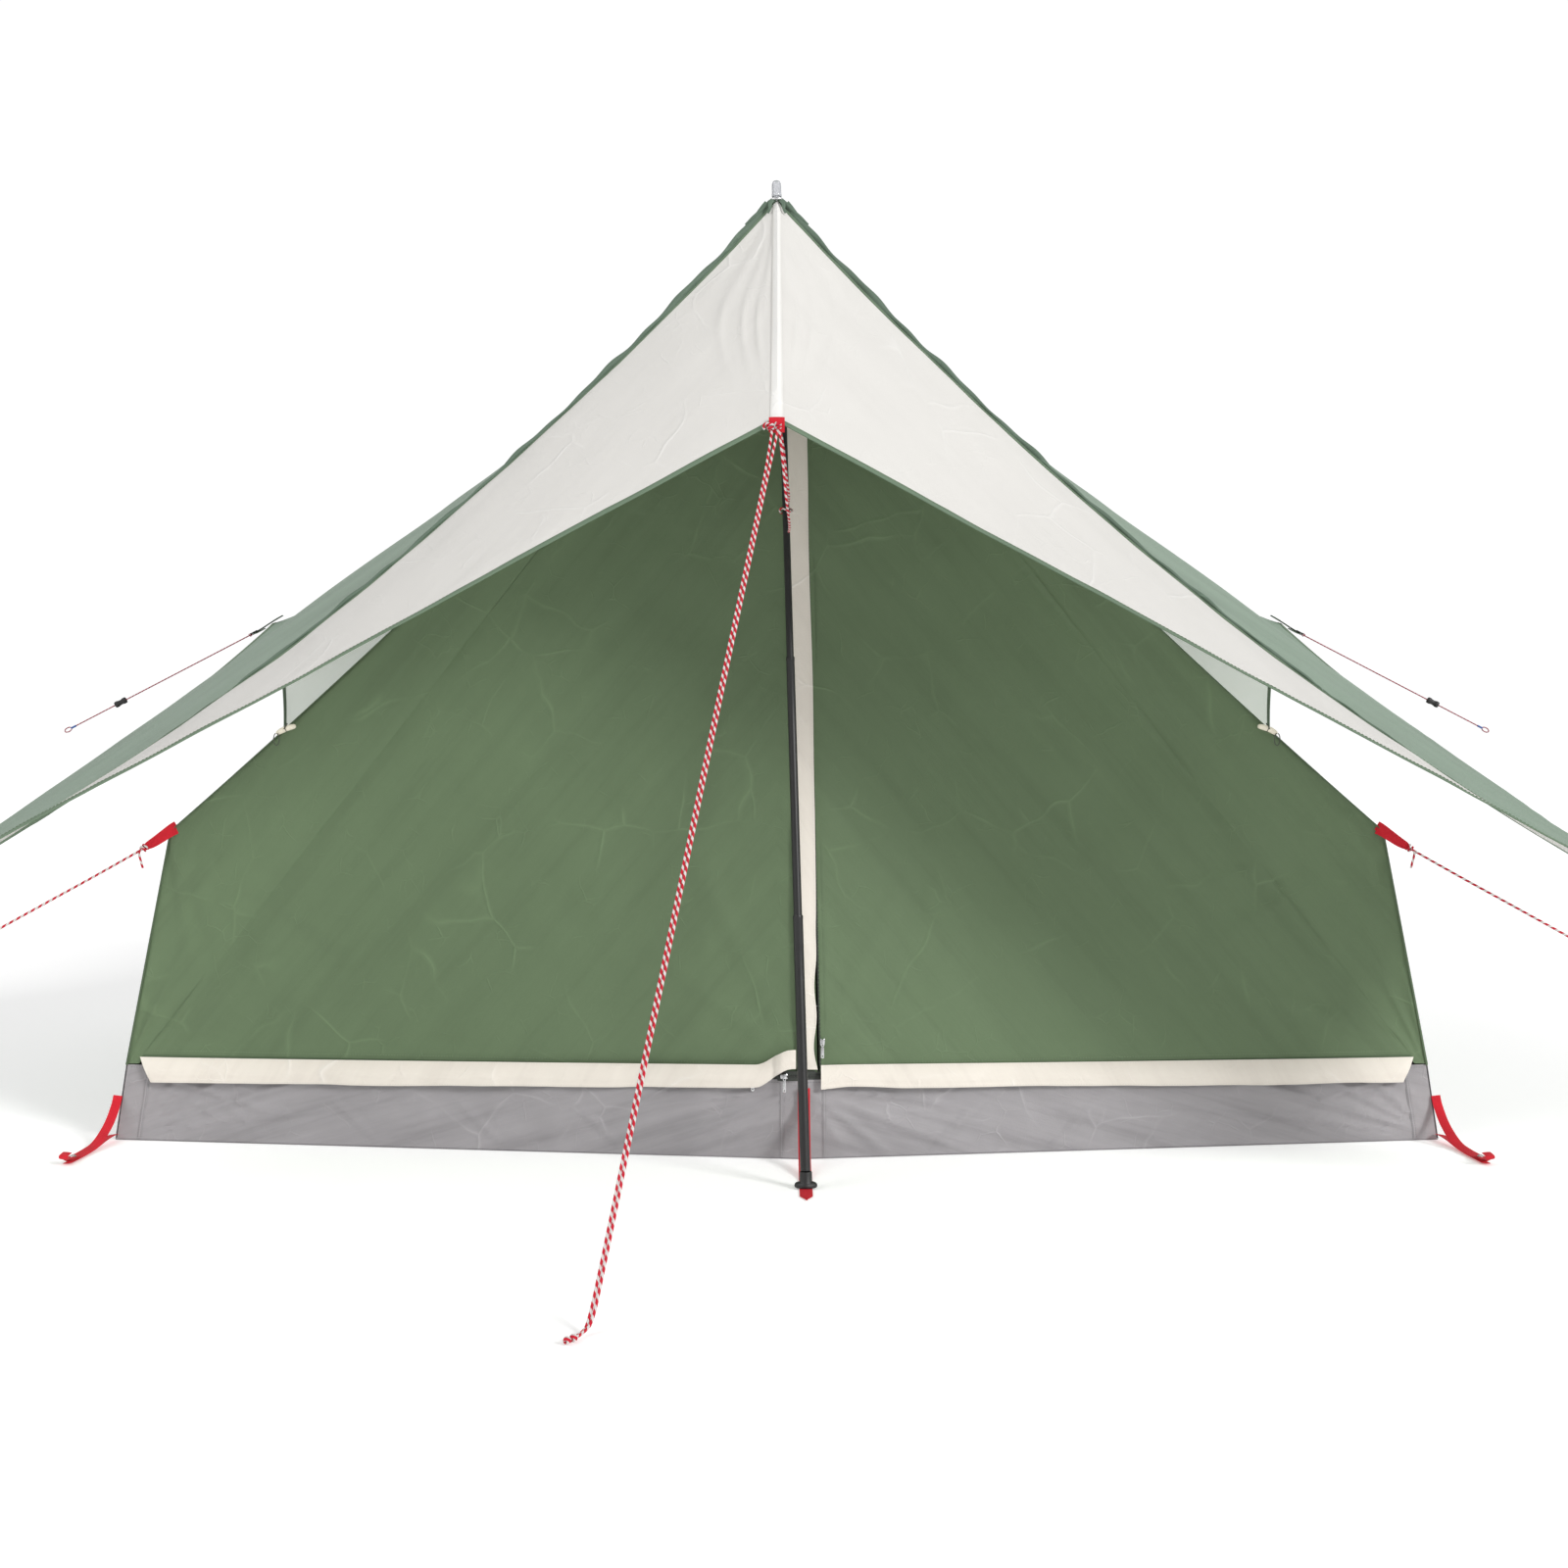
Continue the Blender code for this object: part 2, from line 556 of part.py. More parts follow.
# ---- guy lines: each route is for the left side or the middle, and x is mirrored for the right ----
SIDE_GUY = [(1.4345, 0, 1.1705), (1.530, 0, 1.1208), (1.660, 0, 1.0532), (1.786, 0, 0.9877),
            (1.860, 0, 0.9492), (1.920, 0, 0.9180)]
RUNNER = (1.786, 0, 0.9877)
EAVE_GUY = [(1.3360, -1.1120, 0.6700), (1.3700, -1.1300, 0.6480), (1.4600, -1.1870, 0.5900),
            (1.5600, -1.2476, 0.5277), (1.6600, -1.3083, 0.4651), (1.7400, -1.3571, 0.4147)]
FRONT_ROPE = [(-0.0030, -1.7060, 1.4580), (-0.0230, -1.7660, 1.3540), (-0.0560, -1.8670, 1.1800),
              (-0.1010, -2.0020, 0.9450), (-0.1450, -2.1370, 0.7100), (-0.1880, -2.2680, 0.4800),
              (-0.2300, -2.3960, 0.2560), (-0.2620, -2.4930, 0.0850), (-0.2760, -2.5330, 0.0190),
              (-0.2860, -2.5560, 0.0065), (-0.3000, -2.5900, 0.0058)]
SIDE_GUY_DIAMETER = 0.0032
EAVE_GUY_DIAMETER = 0.0050
ROPE_DIAMETER = 0.0100            # two 5 mm strands side by side


def cords():
    cord("front_guy_rope", FRONT_ROPE, ROPE_DIAMETER, 76)
    for x_side in (LEFT, RIGHT):
        mirror = np.array((x_side, 1, 1))
        cord(f"side_guy_{side_name(x_side)}", np.array(SIDE_GUY) * mirror, SIDE_GUY_DIAMETER, 60)
        cord(f"eave_guy_{side_name(x_side)}", np.array(EAVE_GUY) * mirror, EAVE_GUY_DIAMETER, 36)


# ---- the flysheet ----
def beak_seam(x_side, y_side, along):
    """The seam between roof and beak, from the peak to the corner, at shares along of its length."""
    peak, corner = place(PEAK, x_side, y_side), place(FLY_CORNER, x_side, y_side)
    points = peak + (corner - peak) * along[:, None]
    points[:, 2] -= SEAM_SAG * 4 * along * (1 - along)
    return points


def middle_section(x_side, along):
    """The roof's cross-section halfway back, from the ridge to the edge."""
    ridge, edge = np.array((0, 0, RIDGE_MIDDLE)), place(FLY_MIDDLE_EDGE, x_side, 1)
    points = ridge + (edge - ridge) * along[:, None]
    points[:, 2] -= MIDDLE_SAG * 4 * along * (1 - along)
    return points


def roof_point(x_side, along, back):
    """The roof at shares along (ridge to edge) and back (-1 the front seam, 1 the rear seam)."""
    y_side = FRONT if back < 0 else REAR
    share = 1 - abs(back)
    end, middle = beak_seam(x_side, y_side, along), middle_section(x_side, along)
    points = end + (middle - end) * share
    points[:, 2] += ROOF_CROWN * 4 * share * (1 - share) * np.sin(math.pi * along)
    points[:, 0] -= x_side * EDGE_SAG * 4 * share * (1 - share) * along**3
    return points


def fly():
    """Two roof halves and two beaks, notched at each peak to clear the pole's tip."""
    backs = np.concatenate([[-0.997, -0.985], np.linspace(-0.93, 0.93, 14), [0.985, 0.997]])
    for x_side in (LEFT, RIGHT):
        columns = []
        for back in backs * x_side:
            first = PEAK_NOTCH / FLY_CORNER[0] if abs(back) > 0.98 else 0.001
            columns.append(roof_point(x_side, np.linspace(first, 1, 11), back))
        sheet(f"fly_roof_{side_name(x_side)}", np.stack(columns, axis=1), "fly_green", FLY_CLOTH)
    half = np.concatenate([[0], np.linspace(PEAK_NOTCH / FLY_CORNER[0], 0.975, 9)])
    for y_side, where in ((FRONT, "front"), (REAR, "rear")):
        rows = []
        for x_side in (LEFT, RIGHT):
            seam = beak_seam(x_side, y_side, half)
            tip, corner = place(BEAK_TIP, 1, y_side), place(FLY_CORNER, x_side, y_side)
            hem = tip + (corner - tip) * half[:, None]
            away = (hem - seam) / np.linalg.norm(hem - seam, axis=1, keepdims=True)
            seam += away * np.where(half == 0, PEAK_NOTCH, 0.003)[:, None]
            rows.append((seam[::-1], hem[::-1]) if x_side == LEFT else (seam[1:], hem[1:]))
        seam = np.concatenate([rows[0][0], rows[1][0]])[::-y_side]
        hem = np.concatenate([rows[0][1], rows[1][1]])[::-y_side]
        sheet(f"fly_beak_{where}", ruled(seam, hem, np.linspace(0, 1, 5)), "beak_white", FLY_CLOTH)


def main():
    clear_scene()
    pole(FRONT, "front")
    pole(REAR, "rear")
    groundsheet()
    tub()
    inner_walls()
    gussets()
    rear_wall()
    doors()
    storm_flaps()
    sliders()
    toggles()
    apex_loops()
    middle_straps()
    corner_straps()
    side_straps()
    cords()
    fly()


main()
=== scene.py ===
"""Looks of the A-frame tent: cloth, webbing, guy lines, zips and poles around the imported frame.

Metres, +Z up, the door faces -Y. Lengths of the cut cloth come from the same dimensions as the CAD.
"""
import math

import bpy
import numpy as np
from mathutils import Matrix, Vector


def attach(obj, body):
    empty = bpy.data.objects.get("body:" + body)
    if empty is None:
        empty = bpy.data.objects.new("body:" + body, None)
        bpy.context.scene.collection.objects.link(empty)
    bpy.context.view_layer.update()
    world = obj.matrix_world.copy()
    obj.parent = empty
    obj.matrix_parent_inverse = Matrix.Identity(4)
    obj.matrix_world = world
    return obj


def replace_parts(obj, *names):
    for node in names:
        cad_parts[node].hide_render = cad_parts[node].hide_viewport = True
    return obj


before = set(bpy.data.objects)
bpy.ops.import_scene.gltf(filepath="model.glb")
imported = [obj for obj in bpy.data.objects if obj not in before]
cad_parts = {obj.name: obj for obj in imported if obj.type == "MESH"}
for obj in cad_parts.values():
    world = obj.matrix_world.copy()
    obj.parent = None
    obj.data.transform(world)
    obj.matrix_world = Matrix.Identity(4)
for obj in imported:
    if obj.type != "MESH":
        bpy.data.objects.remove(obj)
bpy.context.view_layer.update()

# ---- driving dimensions, as in the CAD ----
BASE_HALF_WIDTH = 1.46
BASE_HALF_DEPTH = 1.05
BASE_NOSE = (0.05, 1.265)
TUB_TOP = 0.165
TUB_TOP_HALF_WIDTH = 1.436
EAVE = (1.322, 1.1, 0.683)
APEX = (0.0, 1.22, 1.93)
INNER_SAG = 0.03
PEAK = (0.0, 1.25, 2.023)
BEAK_TIP = (0.0, 1.7, 1.482)
FLY_CORNER = (1.95, 1.9, 0.4)
FLY_MIDDLE_EDGE = (1.373, 0.0, 1.203)
RIDGE_MIDDLE = 2.0
SEAM_SAG = 0.17
MIDDLE_SAG = 0.07
EDGE_SAG = 0.08
ROOF_CROWN = 0.1
POLE_FOOT = (0.057, 1.55, 0.002)
POLE_LEVELS = (0.034, 0.53, 1.05, 1.56, 1.985)
POLE_DIAMETERS = (0.02, 0.017, 0.0145, 0.0125)
SEAM_X = (0.088, 0.05)
DOOR_FOOT = 0.183
ZIP_HEIGHT = 0.174
SEAM_HEAD = 1.86
LEAF_HEAD = 1.855
POLE_WALL = 0.0009
POLE_OVERLAP = 0.05
TIP_TOP = 2.062
TIP_CAP_HEIGHT = 0.036
TIP_CAP_RADIUS = 0.0105
CLOTH = 0.0008
FLY_THICK = 0.001
TUB_THICK = 0.001
STRAND = 0.005
THIN_STRAND = 0.0032
BEAK_SEAM_GAP = 0.0015
FLAP_STAND_OFF = 0.018
RIDGE_TAPE_HALF = 0.0075
READ_AHEAD = 0.001
COIL_PITCH = 0.0042
KNOT_POINTS = 52
WALL_FOOT = (TUB_TOP_HALF_WIDTH - 0.004, BASE_HALF_DEPTH + 0.002, TUB_TOP + 0.001)
FAN_SHARPNESS = 0.6

# ---- how deep the wrinkles of each sheet are, and the size in metres of the painted light and shade on the cloth's folds ----
WALL_DEPTH = 2.0
TUB_DEPTH = 2.2
BEAK_DEPTH = 2.0
BEAK_COLUMNS = np.concatenate([[0.0], np.linspace(0.002, 0.07, 40), np.linspace(0.08, 0.978, 74)])
FOLD_SHADING_SIZE = (0.7, 0.3, 0.045)

# ---- studio ----
BACKDROP = 1.15
ROOM_LIGHT = 0.62
FLOOR_GLOW = 0.25
EXPOSURE = -0.16
SUNS = (("key", (0.66, -0.62, 0.44), 16.0, 2.3), ("fill", (-0.7, -0.45, 0.55), 35.0, 0.8))
CAMERA_PLACE = (0.0, -5.55, 0.867)
SENSOR_MM, FOCAL_MM = 36.0, 46.8
LENS_SHIFT = (0.0046, -0.02375)

MIX_COLOUR_INPUTS, MIX_COLOUR_OUTPUT = (0, 6, 7), 2
FRONT, REAR = -1, 1
LEFT, RIGHT = -1, 1
ENDS = ((FRONT, "front"), (REAR, "rear"))
SIDES = ((LEFT, "left"), (RIGHT, "right"))


# ---- numbers ----
def shares(count):
    return np.linspace(0, 1, count)


def hashed(ix, iy, seed):
    n = (ix.astype(np.int64) * 374761393 + iy.astype(np.int64) * 668265263 + seed * 2147483647) & 0xFFFFFFFF
    n = ((n ^ (n >> 13)) * 1274126177) & 0xFFFFFFFF
    return ((n ^ (n >> 16)) & 0xFFFF) / 65535.0


def noise(x, y, seed):
    """Smooth value noise from -1 to 1 with a cell of 1."""
    ix, iy = np.floor(x), np.floor(y)
    fx, fy = x - ix, y - iy
    fx, fy = fx * fx * fx * (fx * (fx * 6 - 15) + 10), fy * fy * fy * (fy * (fy * 6 - 15) + 10)
    low = hashed(ix, iy, seed) * (1 - fx) + hashed(ix + 1, iy, seed) * fx
    high = hashed(ix, iy + 1, seed) * (1 - fx) + hashed(ix + 1, iy + 1, seed) * fx
    return (low * (1 - fy) + high * fy) * 2 - 1


def layered(x, y, size, seed, octaves=3):
    total, weight = 0.0, 1.0
    for k in range(octaves):
        total = total + weight * noise(x / size * 2**k, y / size * 2**k, seed + 17 * k)
        weight *= 0.5
    return total


def crease(x, y, start, end, width, height, sharp=1.0):
    """A fold that runs from start to end: a ridge with a shallow valley each side, fading towards end."""
    (ax, ay), (bx, by) = start, end
    length = math.hypot(bx - ax, by - ay)
    dx, dy = (bx - ax) / length, (by - ay) / length
    along = ((x - ax) * dx + (y - ay) * dy) / length
    off = (x - ax) * -dy + (y - ay) * dx
    spread = width * (0.45 + 0.85 * np.clip(along, 0, 1))
    off = off / spread
    shape = np.exp(-np.abs(off) ** (1 + sharp)) - 0.45 * np.exp(-(off / 2.2) ** 2)
    fade = np.clip(along * 9, 0, 1) * np.clip((1 - along) * 1.6, 0, 1)
    fade = fade * fade * (3 - 2 * fade)
    return height * shape * fade


def fan(x, y, origin, angles, lengths, width, height, seed):
    """Creases that spread from one point, with uneven strength."""
    total = 0.0
    for k, (angle, length) in enumerate(zip(angles, lengths)):
        turn = math.radians(angle)
        uneven = 0.65 + 0.7 * float(hashed(np.array(k + 3), np.array(seed), 5))
        end = (origin[0] + math.cos(turn) * length, origin[1] + math.sin(turn) * length)
        total = total + crease(x, y, origin, end, width * uneven, height * uneven, FAN_SHARPNESS)
    return total


def place(triple, x_side, y_side):
    return np.array([triple[0] * x_side, triple[1] * y_side, triple[2]])


def line(start, end, count=2):
    start, end = np.asarray(start, float), np.asarray(end, float)
    return start + (end - start) * shares(count)[:, None]


def ruled(first, second, across):
    first, second = np.asarray(first, float), np.asarray(second, float)
    return first[:, None] + (second - first)[:, None] * np.asarray(across)[None, :, None]


def distances(points):
    """How far along a path each of its points lies."""
    return np.concatenate([[0], np.cumsum(np.linalg.norm(np.diff(points, axis=0), axis=1))])


def resample(points, count):
    points = np.asarray(points, float)
    steps = distances(points)
    wanted = np.linspace(0, steps[-1], count)
    return read_path(points, steps, wanted)


def read_path(points, steps, wanted):
    """Points of a path at the wanted distances along it."""
    return np.stack([np.interp(wanted, steps, points[:, k]) for k in range(3)], axis=1)


def path_length(points):
    return float(distances(points)[-1])


def smooth_route(points, count):
    """Points read evenly from a Catmull-Rom curve through the given ones."""
    points = [np.asarray(p, float) for p in points]
    points = [points[0] * 2 - points[1]] + points + [points[-1] * 2 - points[-2]]
    dense = []
    for a, b, c, d in zip(points, points[1:], points[2:], points[3:]):
        for t in np.linspace(0, 1, 24, endpoint=False):
            dense.append(0.5 * (2 * b + (c - a) * t + (2 * a - 5 * b + 4 * c - d) * t**2
                                + (3 * b - a - 3 * c + d) * t**3))
    dense.append(points[-2])
    return resample(dense, count)


def from_spot(spot, way, steps):
    """Points given as (how far along way, x, y, z) from a spot."""
    return [spot + way * far + np.array(rest) for far, *rest in steps]


def unit(v):
    v = np.asarray(v, float)
    return v / np.linalg.norm(v, axis=-1, keepdims=True)


# ---- materials ----
def new_material(name, roughness, metallic=0.0, specular=0.5, sheen=0.0):
    made = bpy.data.materials.new(name)
    made.use_nodes = True
    shader = made.node_tree.nodes["Principled BSDF"]
    shader.inputs["Roughness"].default_value = roughness
    shader.inputs["Metallic"].default_value = metallic
    shader.inputs["Specular IOR Level"].default_value = specular
    shader.inputs["Sheen Weight"].default_value = sheen
    return made, shader


class Wire:
    """A node's output, used in plain arithmetic."""

    def __init__(self, nodes, socket):
        self.nodes, self.socket = nodes, socket

    def __add__(self, other):
        return self.nodes.math("ADD", self, other)

    def __sub__(self, other):
        return self.nodes.math("SUBTRACT", self, other)

    def __rsub__(self, other):
        return self.nodes.math("SUBTRACT", other, self)

    def __mul__(self, other):
        return self.nodes.math("MULTIPLY", self, other)

    def clamped(self):
        """The same value, held between 0 and 1."""
        self.socket.node.use_clamp = True
        return self


class Nodes:
    """Short names for the node graph of one material."""

    def __init__(self, made):
        self.tree = made.node_tree

    def put(self, node, name, value):
        """Feeds an input, named or numbered, with a plain value or a wire."""
        if isinstance(value, Wire):
            self.tree.links.new(value.socket, node.inputs[name])
        else:
            node.inputs[name].default_value = value

    def add(self, kind, **inputs):
        node = self.tree.nodes.new(kind)
        for name, value in inputs.items():
            self.put(node, name, value)
        return node

    def out(self, node, which=0):
        return Wire(self, node.outputs[which])

    def math(self, operation, a, b=0.0):
        node = self.add("ShaderNodeMath")
        node.operation = operation
        self.put(node, 0, a)
        self.put(node, 1, b)
        return self.out(node)

    def sine(self, angle):
        return self.math("SINE", angle)

    def mix(self, share, a, b):
        node = self.add("ShaderNodeMix")
        node.data_type = "RGBA"
        for index, value in zip(MIX_COLOUR_INPUTS, (share, a, b)):
            self.put(node, index, value)
        return self.out(node, MIX_COLOUR_OUTPUT)

    def noise(self, vector, scale, detail=3.0, rough=0.55):
        return self.out(self.add("ShaderNodeTexNoise", Vector=vector, Scale=scale, Detail=detail,
                                 Roughness=rough), "Fac")

    def place(self, kind="Object"):
        return self.out(self.add("ShaderNodeTexCoord"), kind)

    def split(self, vector):
        return [Wire(self, part) for part in self.add("ShaderNodeSeparateXYZ", Vector=vector).outputs]

    def finish(self, shader, base, rough, strength, distance, height):
        """Feeds the shader its colour, its roughness and a bump."""
        bump = self.add("ShaderNodeBump", Strength=strength, Distance=distance, Height=height)
        for name, value in (("Base Color", base), ("Roughness", rough), ("Normal", self.out(bump))):
            self.put(shader, name, value)


def tint(colour, factor):
    return tuple(min(c * factor, 1.0) for c in colour) + (1.0,)


def crease_lines(n, spot, scale, keep):
    """Thin, broken crease lines: the edges of warped cells, kept only where a second noise is high."""
    warp = n.add("ShaderNodeTexNoise", Vector=spot, Scale=scale * 0.8, Detail=2.0)
    moved = n.add("ShaderNodeVectorMath")
    moved.operation = "MULTIPLY_ADD"
    for index, value in enumerate((n.out(warp, "Color"), (0.55 / scale,) * 3, spot)):
        n.put(moved, index, value)
    cells = n.add("ShaderNodeTexVoronoi", Vector=n.out(moved), Scale=scale)
    cells.feature = "DISTANCE_TO_EDGE"
    near = (1.0 - n.out(cells, "Distance") * 26.0).clamped()
    patch = ((n.noise(spot, scale * 0.9, 2.0) - keep) * 7.0).clamped()
    return near * near * patch


def cloth_material(name, colour, roughness=0.62, weave=0.0009, ripstop=0.0, vary=0.1, specular=0.3, low_darkening=0.0,
                   crumple=0.0, fold_shading=0.0, lean=35.0, painted_glow=0.0):
    """Woven cloth: two crossed threads in UV metres, uneven dye, slanting folds and broken creases, with
    painted light and shade along the folds, painted highlights on the creases, darker patches towards the
    bottom and a painted glow.
    """
    made, shader = new_material(name, roughness, specular=specular, sheen=0.05)
    n = Nodes(made)
    uv, spot = n.split(n.place("UV")), n.place()
    threads = n.sine(uv[0] * (math.tau / weave)) * n.sine(uv[1] * (math.tau / weave))
    shade = n.noise(spot, 2.3, 4.0, 0.6) * 0.7 + n.noise(spot, 60.0, 3.0, 0.6) * 0.3
    shade = (threads * 0.05 + shade).clamped()
    base = n.mix(shade, tint(colour, 1 - vary), tint(colour, 1 + vary))
    if low_darkening:
        # Darker in noisy patches within a few centimetres of the bottom.
        low = (1.0 - n.split(spot)[2] * 14.0).clamped()
        base = n.mix(low * (n.noise(spot, 9.0, 5.0, 0.7) * low_darkening), base, tint(colour, 0.55))
    relief = threads * 0.2
    if ripstop:
        grid = [n.math("ABSOLUTE", n.sine(axis * (math.tau / ripstop))) for axis in uv[:2]]
        cross = n.math("MAXIMUM", *(n.math("POWER", wave, 24.0) for wave in grid))
        relief += cross * 0.3
        base = n.mix(cross * 0.1, base, tint(colour, 1.2))
    relief += n.noise(spot, 34.0, 4.0, 0.6) * 1.4
    if fold_shading:
        x, y, z = n.split(spot)
        mirrored = n.add("ShaderNodeCombineXYZ", X=n.math("ABSOLUTE", x), Y=y, Z=z)
        turned = n.add("ShaderNodeMapping", Vector=n.out(mirrored))
        turned.vector_type = "TEXTURE"
        turned.inputs["Rotation"].default_value = (0, math.radians(lean), 0)
        turned.inputs["Scale"].default_value = FOLD_SHADING_SIZE
        folds = n.noise(n.out(turned), 1.0, 5.0, 0.62)
        pale, painted_fold_shade = ((folds - 0.36) * 3.4).clamped(), ((0.47 - folds) * 4.5).clamped()
        # Painted light and shade: fold crests are painted paler and fold hollows darker, as the light would
        # fall on them.
        base = n.mix(pale * fold_shading, base, tint(colour, 1.45))
        base = n.mix(painted_fold_shade * fold_shading, base, tint(colour, 0.6))
        relief += folds * 9.0
    if crumple:
        lines = n.math("MAXIMUM", crease_lines(n, spot, 5.5, 0.49), crease_lines(n, spot, 17.0, 0.53) * 0.7)
        # Painted highlight: the crease lines are painted paler, as if their ridges caught the light; the same
        # lines also raise the bump.
        base = n.mix(lines * crumple, base, tint(colour, 1.7))
        relief += lines * 5.0
    n.finish(shader, base, n.noise(spot, 7.0) * 0.16 + (roughness - 0.08), 0.3, 0.0016, relief)
    # Painted light: an emission in the cloth's own colour makes it glow by itself; only the fly's underside
    # uses it, standing in for light shining through the fly.
    shader.inputs["Emission Color"].default_value = tint(colour, 1.0)
    shader.inputs["Emission Strength"].default_value = painted_glow
    return made


def webbing_material(name, colour):
    """Ribbed strap: a herringbone along the length, read from UV metres."""
    made, shader = new_material(name, 0.6, specular=0.18, sheen=0.02)
    n = Nodes(made)
    across, along, _ = n.split(n.place("UV"))
    zig = n.math("ABSOLUTE", n.math("FRACT", across * 120.0) - 0.5)
    rib = n.sine((along + zig * 0.006) * 3600.0)
    uneven = n.noise(n.place(), 40.0)
    base = n.mix((rib * 0.18 + uneven).clamped(), tint(colour, 0.78), tint(colour, 1.16))
    n.finish(shader, base, uneven * 0.2 + 0.5, 0.5, 0.0006, rib)
    return made


def rope_material(name, ground, fleck, pitch, share):
    """A braid: U runs round the rope from 0 to 1 and V along it in metres."""
    made, shader = new_material(name, 0.75, specular=0.15, sheen=0.05)
    n = Nodes(made)
    around, along, _ = n.split(n.place("UV"))
    run, strands = n.math("DIVIDE", along, pitch), around * 8.0
    band = n.math("LESS_THAN", n.math("FRACT", run + around), share)
    braid = n.math("MAXIMUM", n.sine((run * 4.0 + strands) * math.tau),
                   n.sine((run * 4.0 - strands) * math.tau))
    uneven = n.noise(n.place(), 300.0)
    red = n.mix(uneven, tint(fleck, 0.75), tint(fleck, 1.2))
    white = n.mix(uneven, tint(ground, 0.85), tint(ground, 1.05))
    # Painted shade: the grooves between the strands, where braid is low, are painted dark.
    base = n.mix((1.0 - braid).clamped() * 0.22, n.mix(band, white, red), (0.16, 0.05, 0.05, 1.0))
    n.finish(shader, base, uneven * 0.2 + 0.65, 0.7, 0.0006, braid)
    return made


def hard_material(name, colour, roughness, metallic=0.0, vary=0.12, scale=40.0, scuff=0.0, bump=0.08):
    """Moulded plastic or coated metal, with uneven gloss and pale scuffs."""
    made, shader = new_material(name, roughness, metallic)
    n = Nodes(made)
    spot = n.place()
    uneven = n.noise(spot, scale, 4.0)
    base = n.mix(uneven, tint(colour, 1 - vary), tint(colour, 1 + vary))
    if scuff:
        worn = n.math("GREATER_THAN", n.noise(spot, scale * 3.5, 6.0, 0.75), 0.66)
        base = n.mix(worn * scuff, base, tint(colour, 3.0))
    n.finish(shader, base, uneven * 0.2 + (roughness - 0.1), bump, 0.0003, n.noise(spot, scale * 12.0))
    return made


def clear_plastic():
    made, shader = new_material("clear_cap", 0.1)
    shader.inputs["IOR"].default_value = 1.46
    shader.inputs["Transmission Weight"].default_value = 0.55
    n = Nodes(made)
    cloud = n.noise(n.place(), 30.0, 2.0)
    # Painted shade: the cap's colour is darker where its surface turns away from the view, standing in for
    # the dark edges that bent and reflected light gives clear plastic.
    rim = n.out(n.add("ShaderNodeLayerWeight", Blend=0.35), "Facing")
    painted_rim_tone = n.mix(rim, (0.8, 0.81, 0.84, 1.0), (0.3, 0.31, 0.34, 1.0))
    n.put(shader, "Base Color", n.mix(cloud * 0.3, painted_rim_tone, (0.72, 0.73, 0.78, 1.0)))
    n.put(shader, "Roughness", cloud * 0.15 + 0.05)
    return made


INNER = cloth_material("inner_cloth", (0.11, 0.16, 0.085), 0.6, crumple=0.3, fold_shading=0.15, lean=50.0)
FLY_OUT = cloth_material("fly_cloth", (0.212, 0.29, 0.22), 0.5, ripstop=0.0126, vary=0.06, specular=0.45,
                         crumple=0.12, fold_shading=0.26, lean=34.0)
# Painted light: the fly's underside is given a glow so that it reads near-white even where it lies in shade.
FLY_IN = cloth_material("fly_cloth_under", (0.8, 0.82, 0.79), 0.55, ripstop=0.0126, vary=0.03, painted_glow=0.4)
BEAK = cloth_material("beak_cloth", (0.665, 0.65, 0.62), 0.55, ripstop=0.0126, vary=0.02, crumple=0.1,
                      fold_shading=0.05, lean=50.0)
BEAK_TAPE = cloth_material("beak_tape", (0.8, 0.79, 0.765), 0.45, vary=0.02, crumple=0.15)
BINDING = cloth_material("hem_binding", (0.135, 0.195, 0.13), 0.65, weave=0.0016, vary=0.16)
SEAM_EDGE = cloth_material("seam_binding", (0.075, 0.115, 0.06), 0.65, weave=0.0016, vary=0.14)
ROLLED = cloth_material("rolled_seam", (0.1, 0.146, 0.106), 0.55, weave=0.0016, vary=0.3, crumple=0.5)
CREAM = cloth_material("cream_cloth", (0.73, 0.675, 0.605), 0.62, vary=0.05, crumple=0.16, fold_shading=0.1,
                       lean=60.0)
GREY = cloth_material("groundsheet_cloth", (0.275, 0.262, 0.271), 0.42, weave=0.0011, vary=0.06,
                      specular=0.45, low_darkening=0.35, crumple=0.3, fold_shading=0.34, lean=17.0)
RED = webbing_material("red_webbing", (0.62, 0.016, 0.03))
GREEN_WEB = webbing_material("green_webbing", (0.1, 0.17, 0.1))
ROPE = rope_material("guy_rope", (0.85, 0.82, 0.8), (0.66, 0.012, 0.035), 0.0165, 0.56)
THIN_ROPE = rope_material("side_cord", (0.55, 0.36, 0.38), (0.4, 0.02, 0.05), 0.01, 0.72)
THREAD_GREEN = hard_material("thread_green", (0.17, 0.24, 0.14), 0.7, bump=0.3)
THREAD_PALE = hard_material("thread_pale", (0.62, 0.6, 0.55), 0.7, bump=0.3)
THREAD_GREY = hard_material("thread_grey", (0.13, 0.125, 0.13), 0.7, bump=0.3)
THREAD_RED = hard_material("thread_red", (0.3, 0.008, 0.015), 0.7, bump=0.3)
POLE = hard_material("pole_steel", (0.01, 0.01, 0.01), 0.38, 0.0, vary=0.2, scale=30.0, scuff=0.03)
BLACK = hard_material("black_plastic", (0.012, 0.012, 0.012), 0.48, vary=0.2, scuff=0.03)
CHROME = hard_material("zip_metal", (0.62, 0.62, 0.63), 0.24, 1.0, vary=0.08, scale=200.0)
COIL = hard_material("zip_coil", (0.03, 0.034, 0.028), 0.5, vary=0.2, scale=300.0)
TOGGLE = hard_material("toggle_plastic", (0.84, 0.77, 0.64), 0.38, vary=0.06, scale=90.0)
LOOP = hard_material("elastic_loop", (0.07, 0.08, 0.06), 0.8, vary=0.2, scale=300.0, bump=0.4)
ALLOY = hard_material("eyelet_metal", (0.6, 0.6, 0.6), 0.28, 1.0, vary=0.1, scale=120.0)
BLUE = hard_material("cord_end", (0.02, 0.08, 0.3), 0.4, vary=0.15, scale=200.0)
CLEAR = clear_plastic()


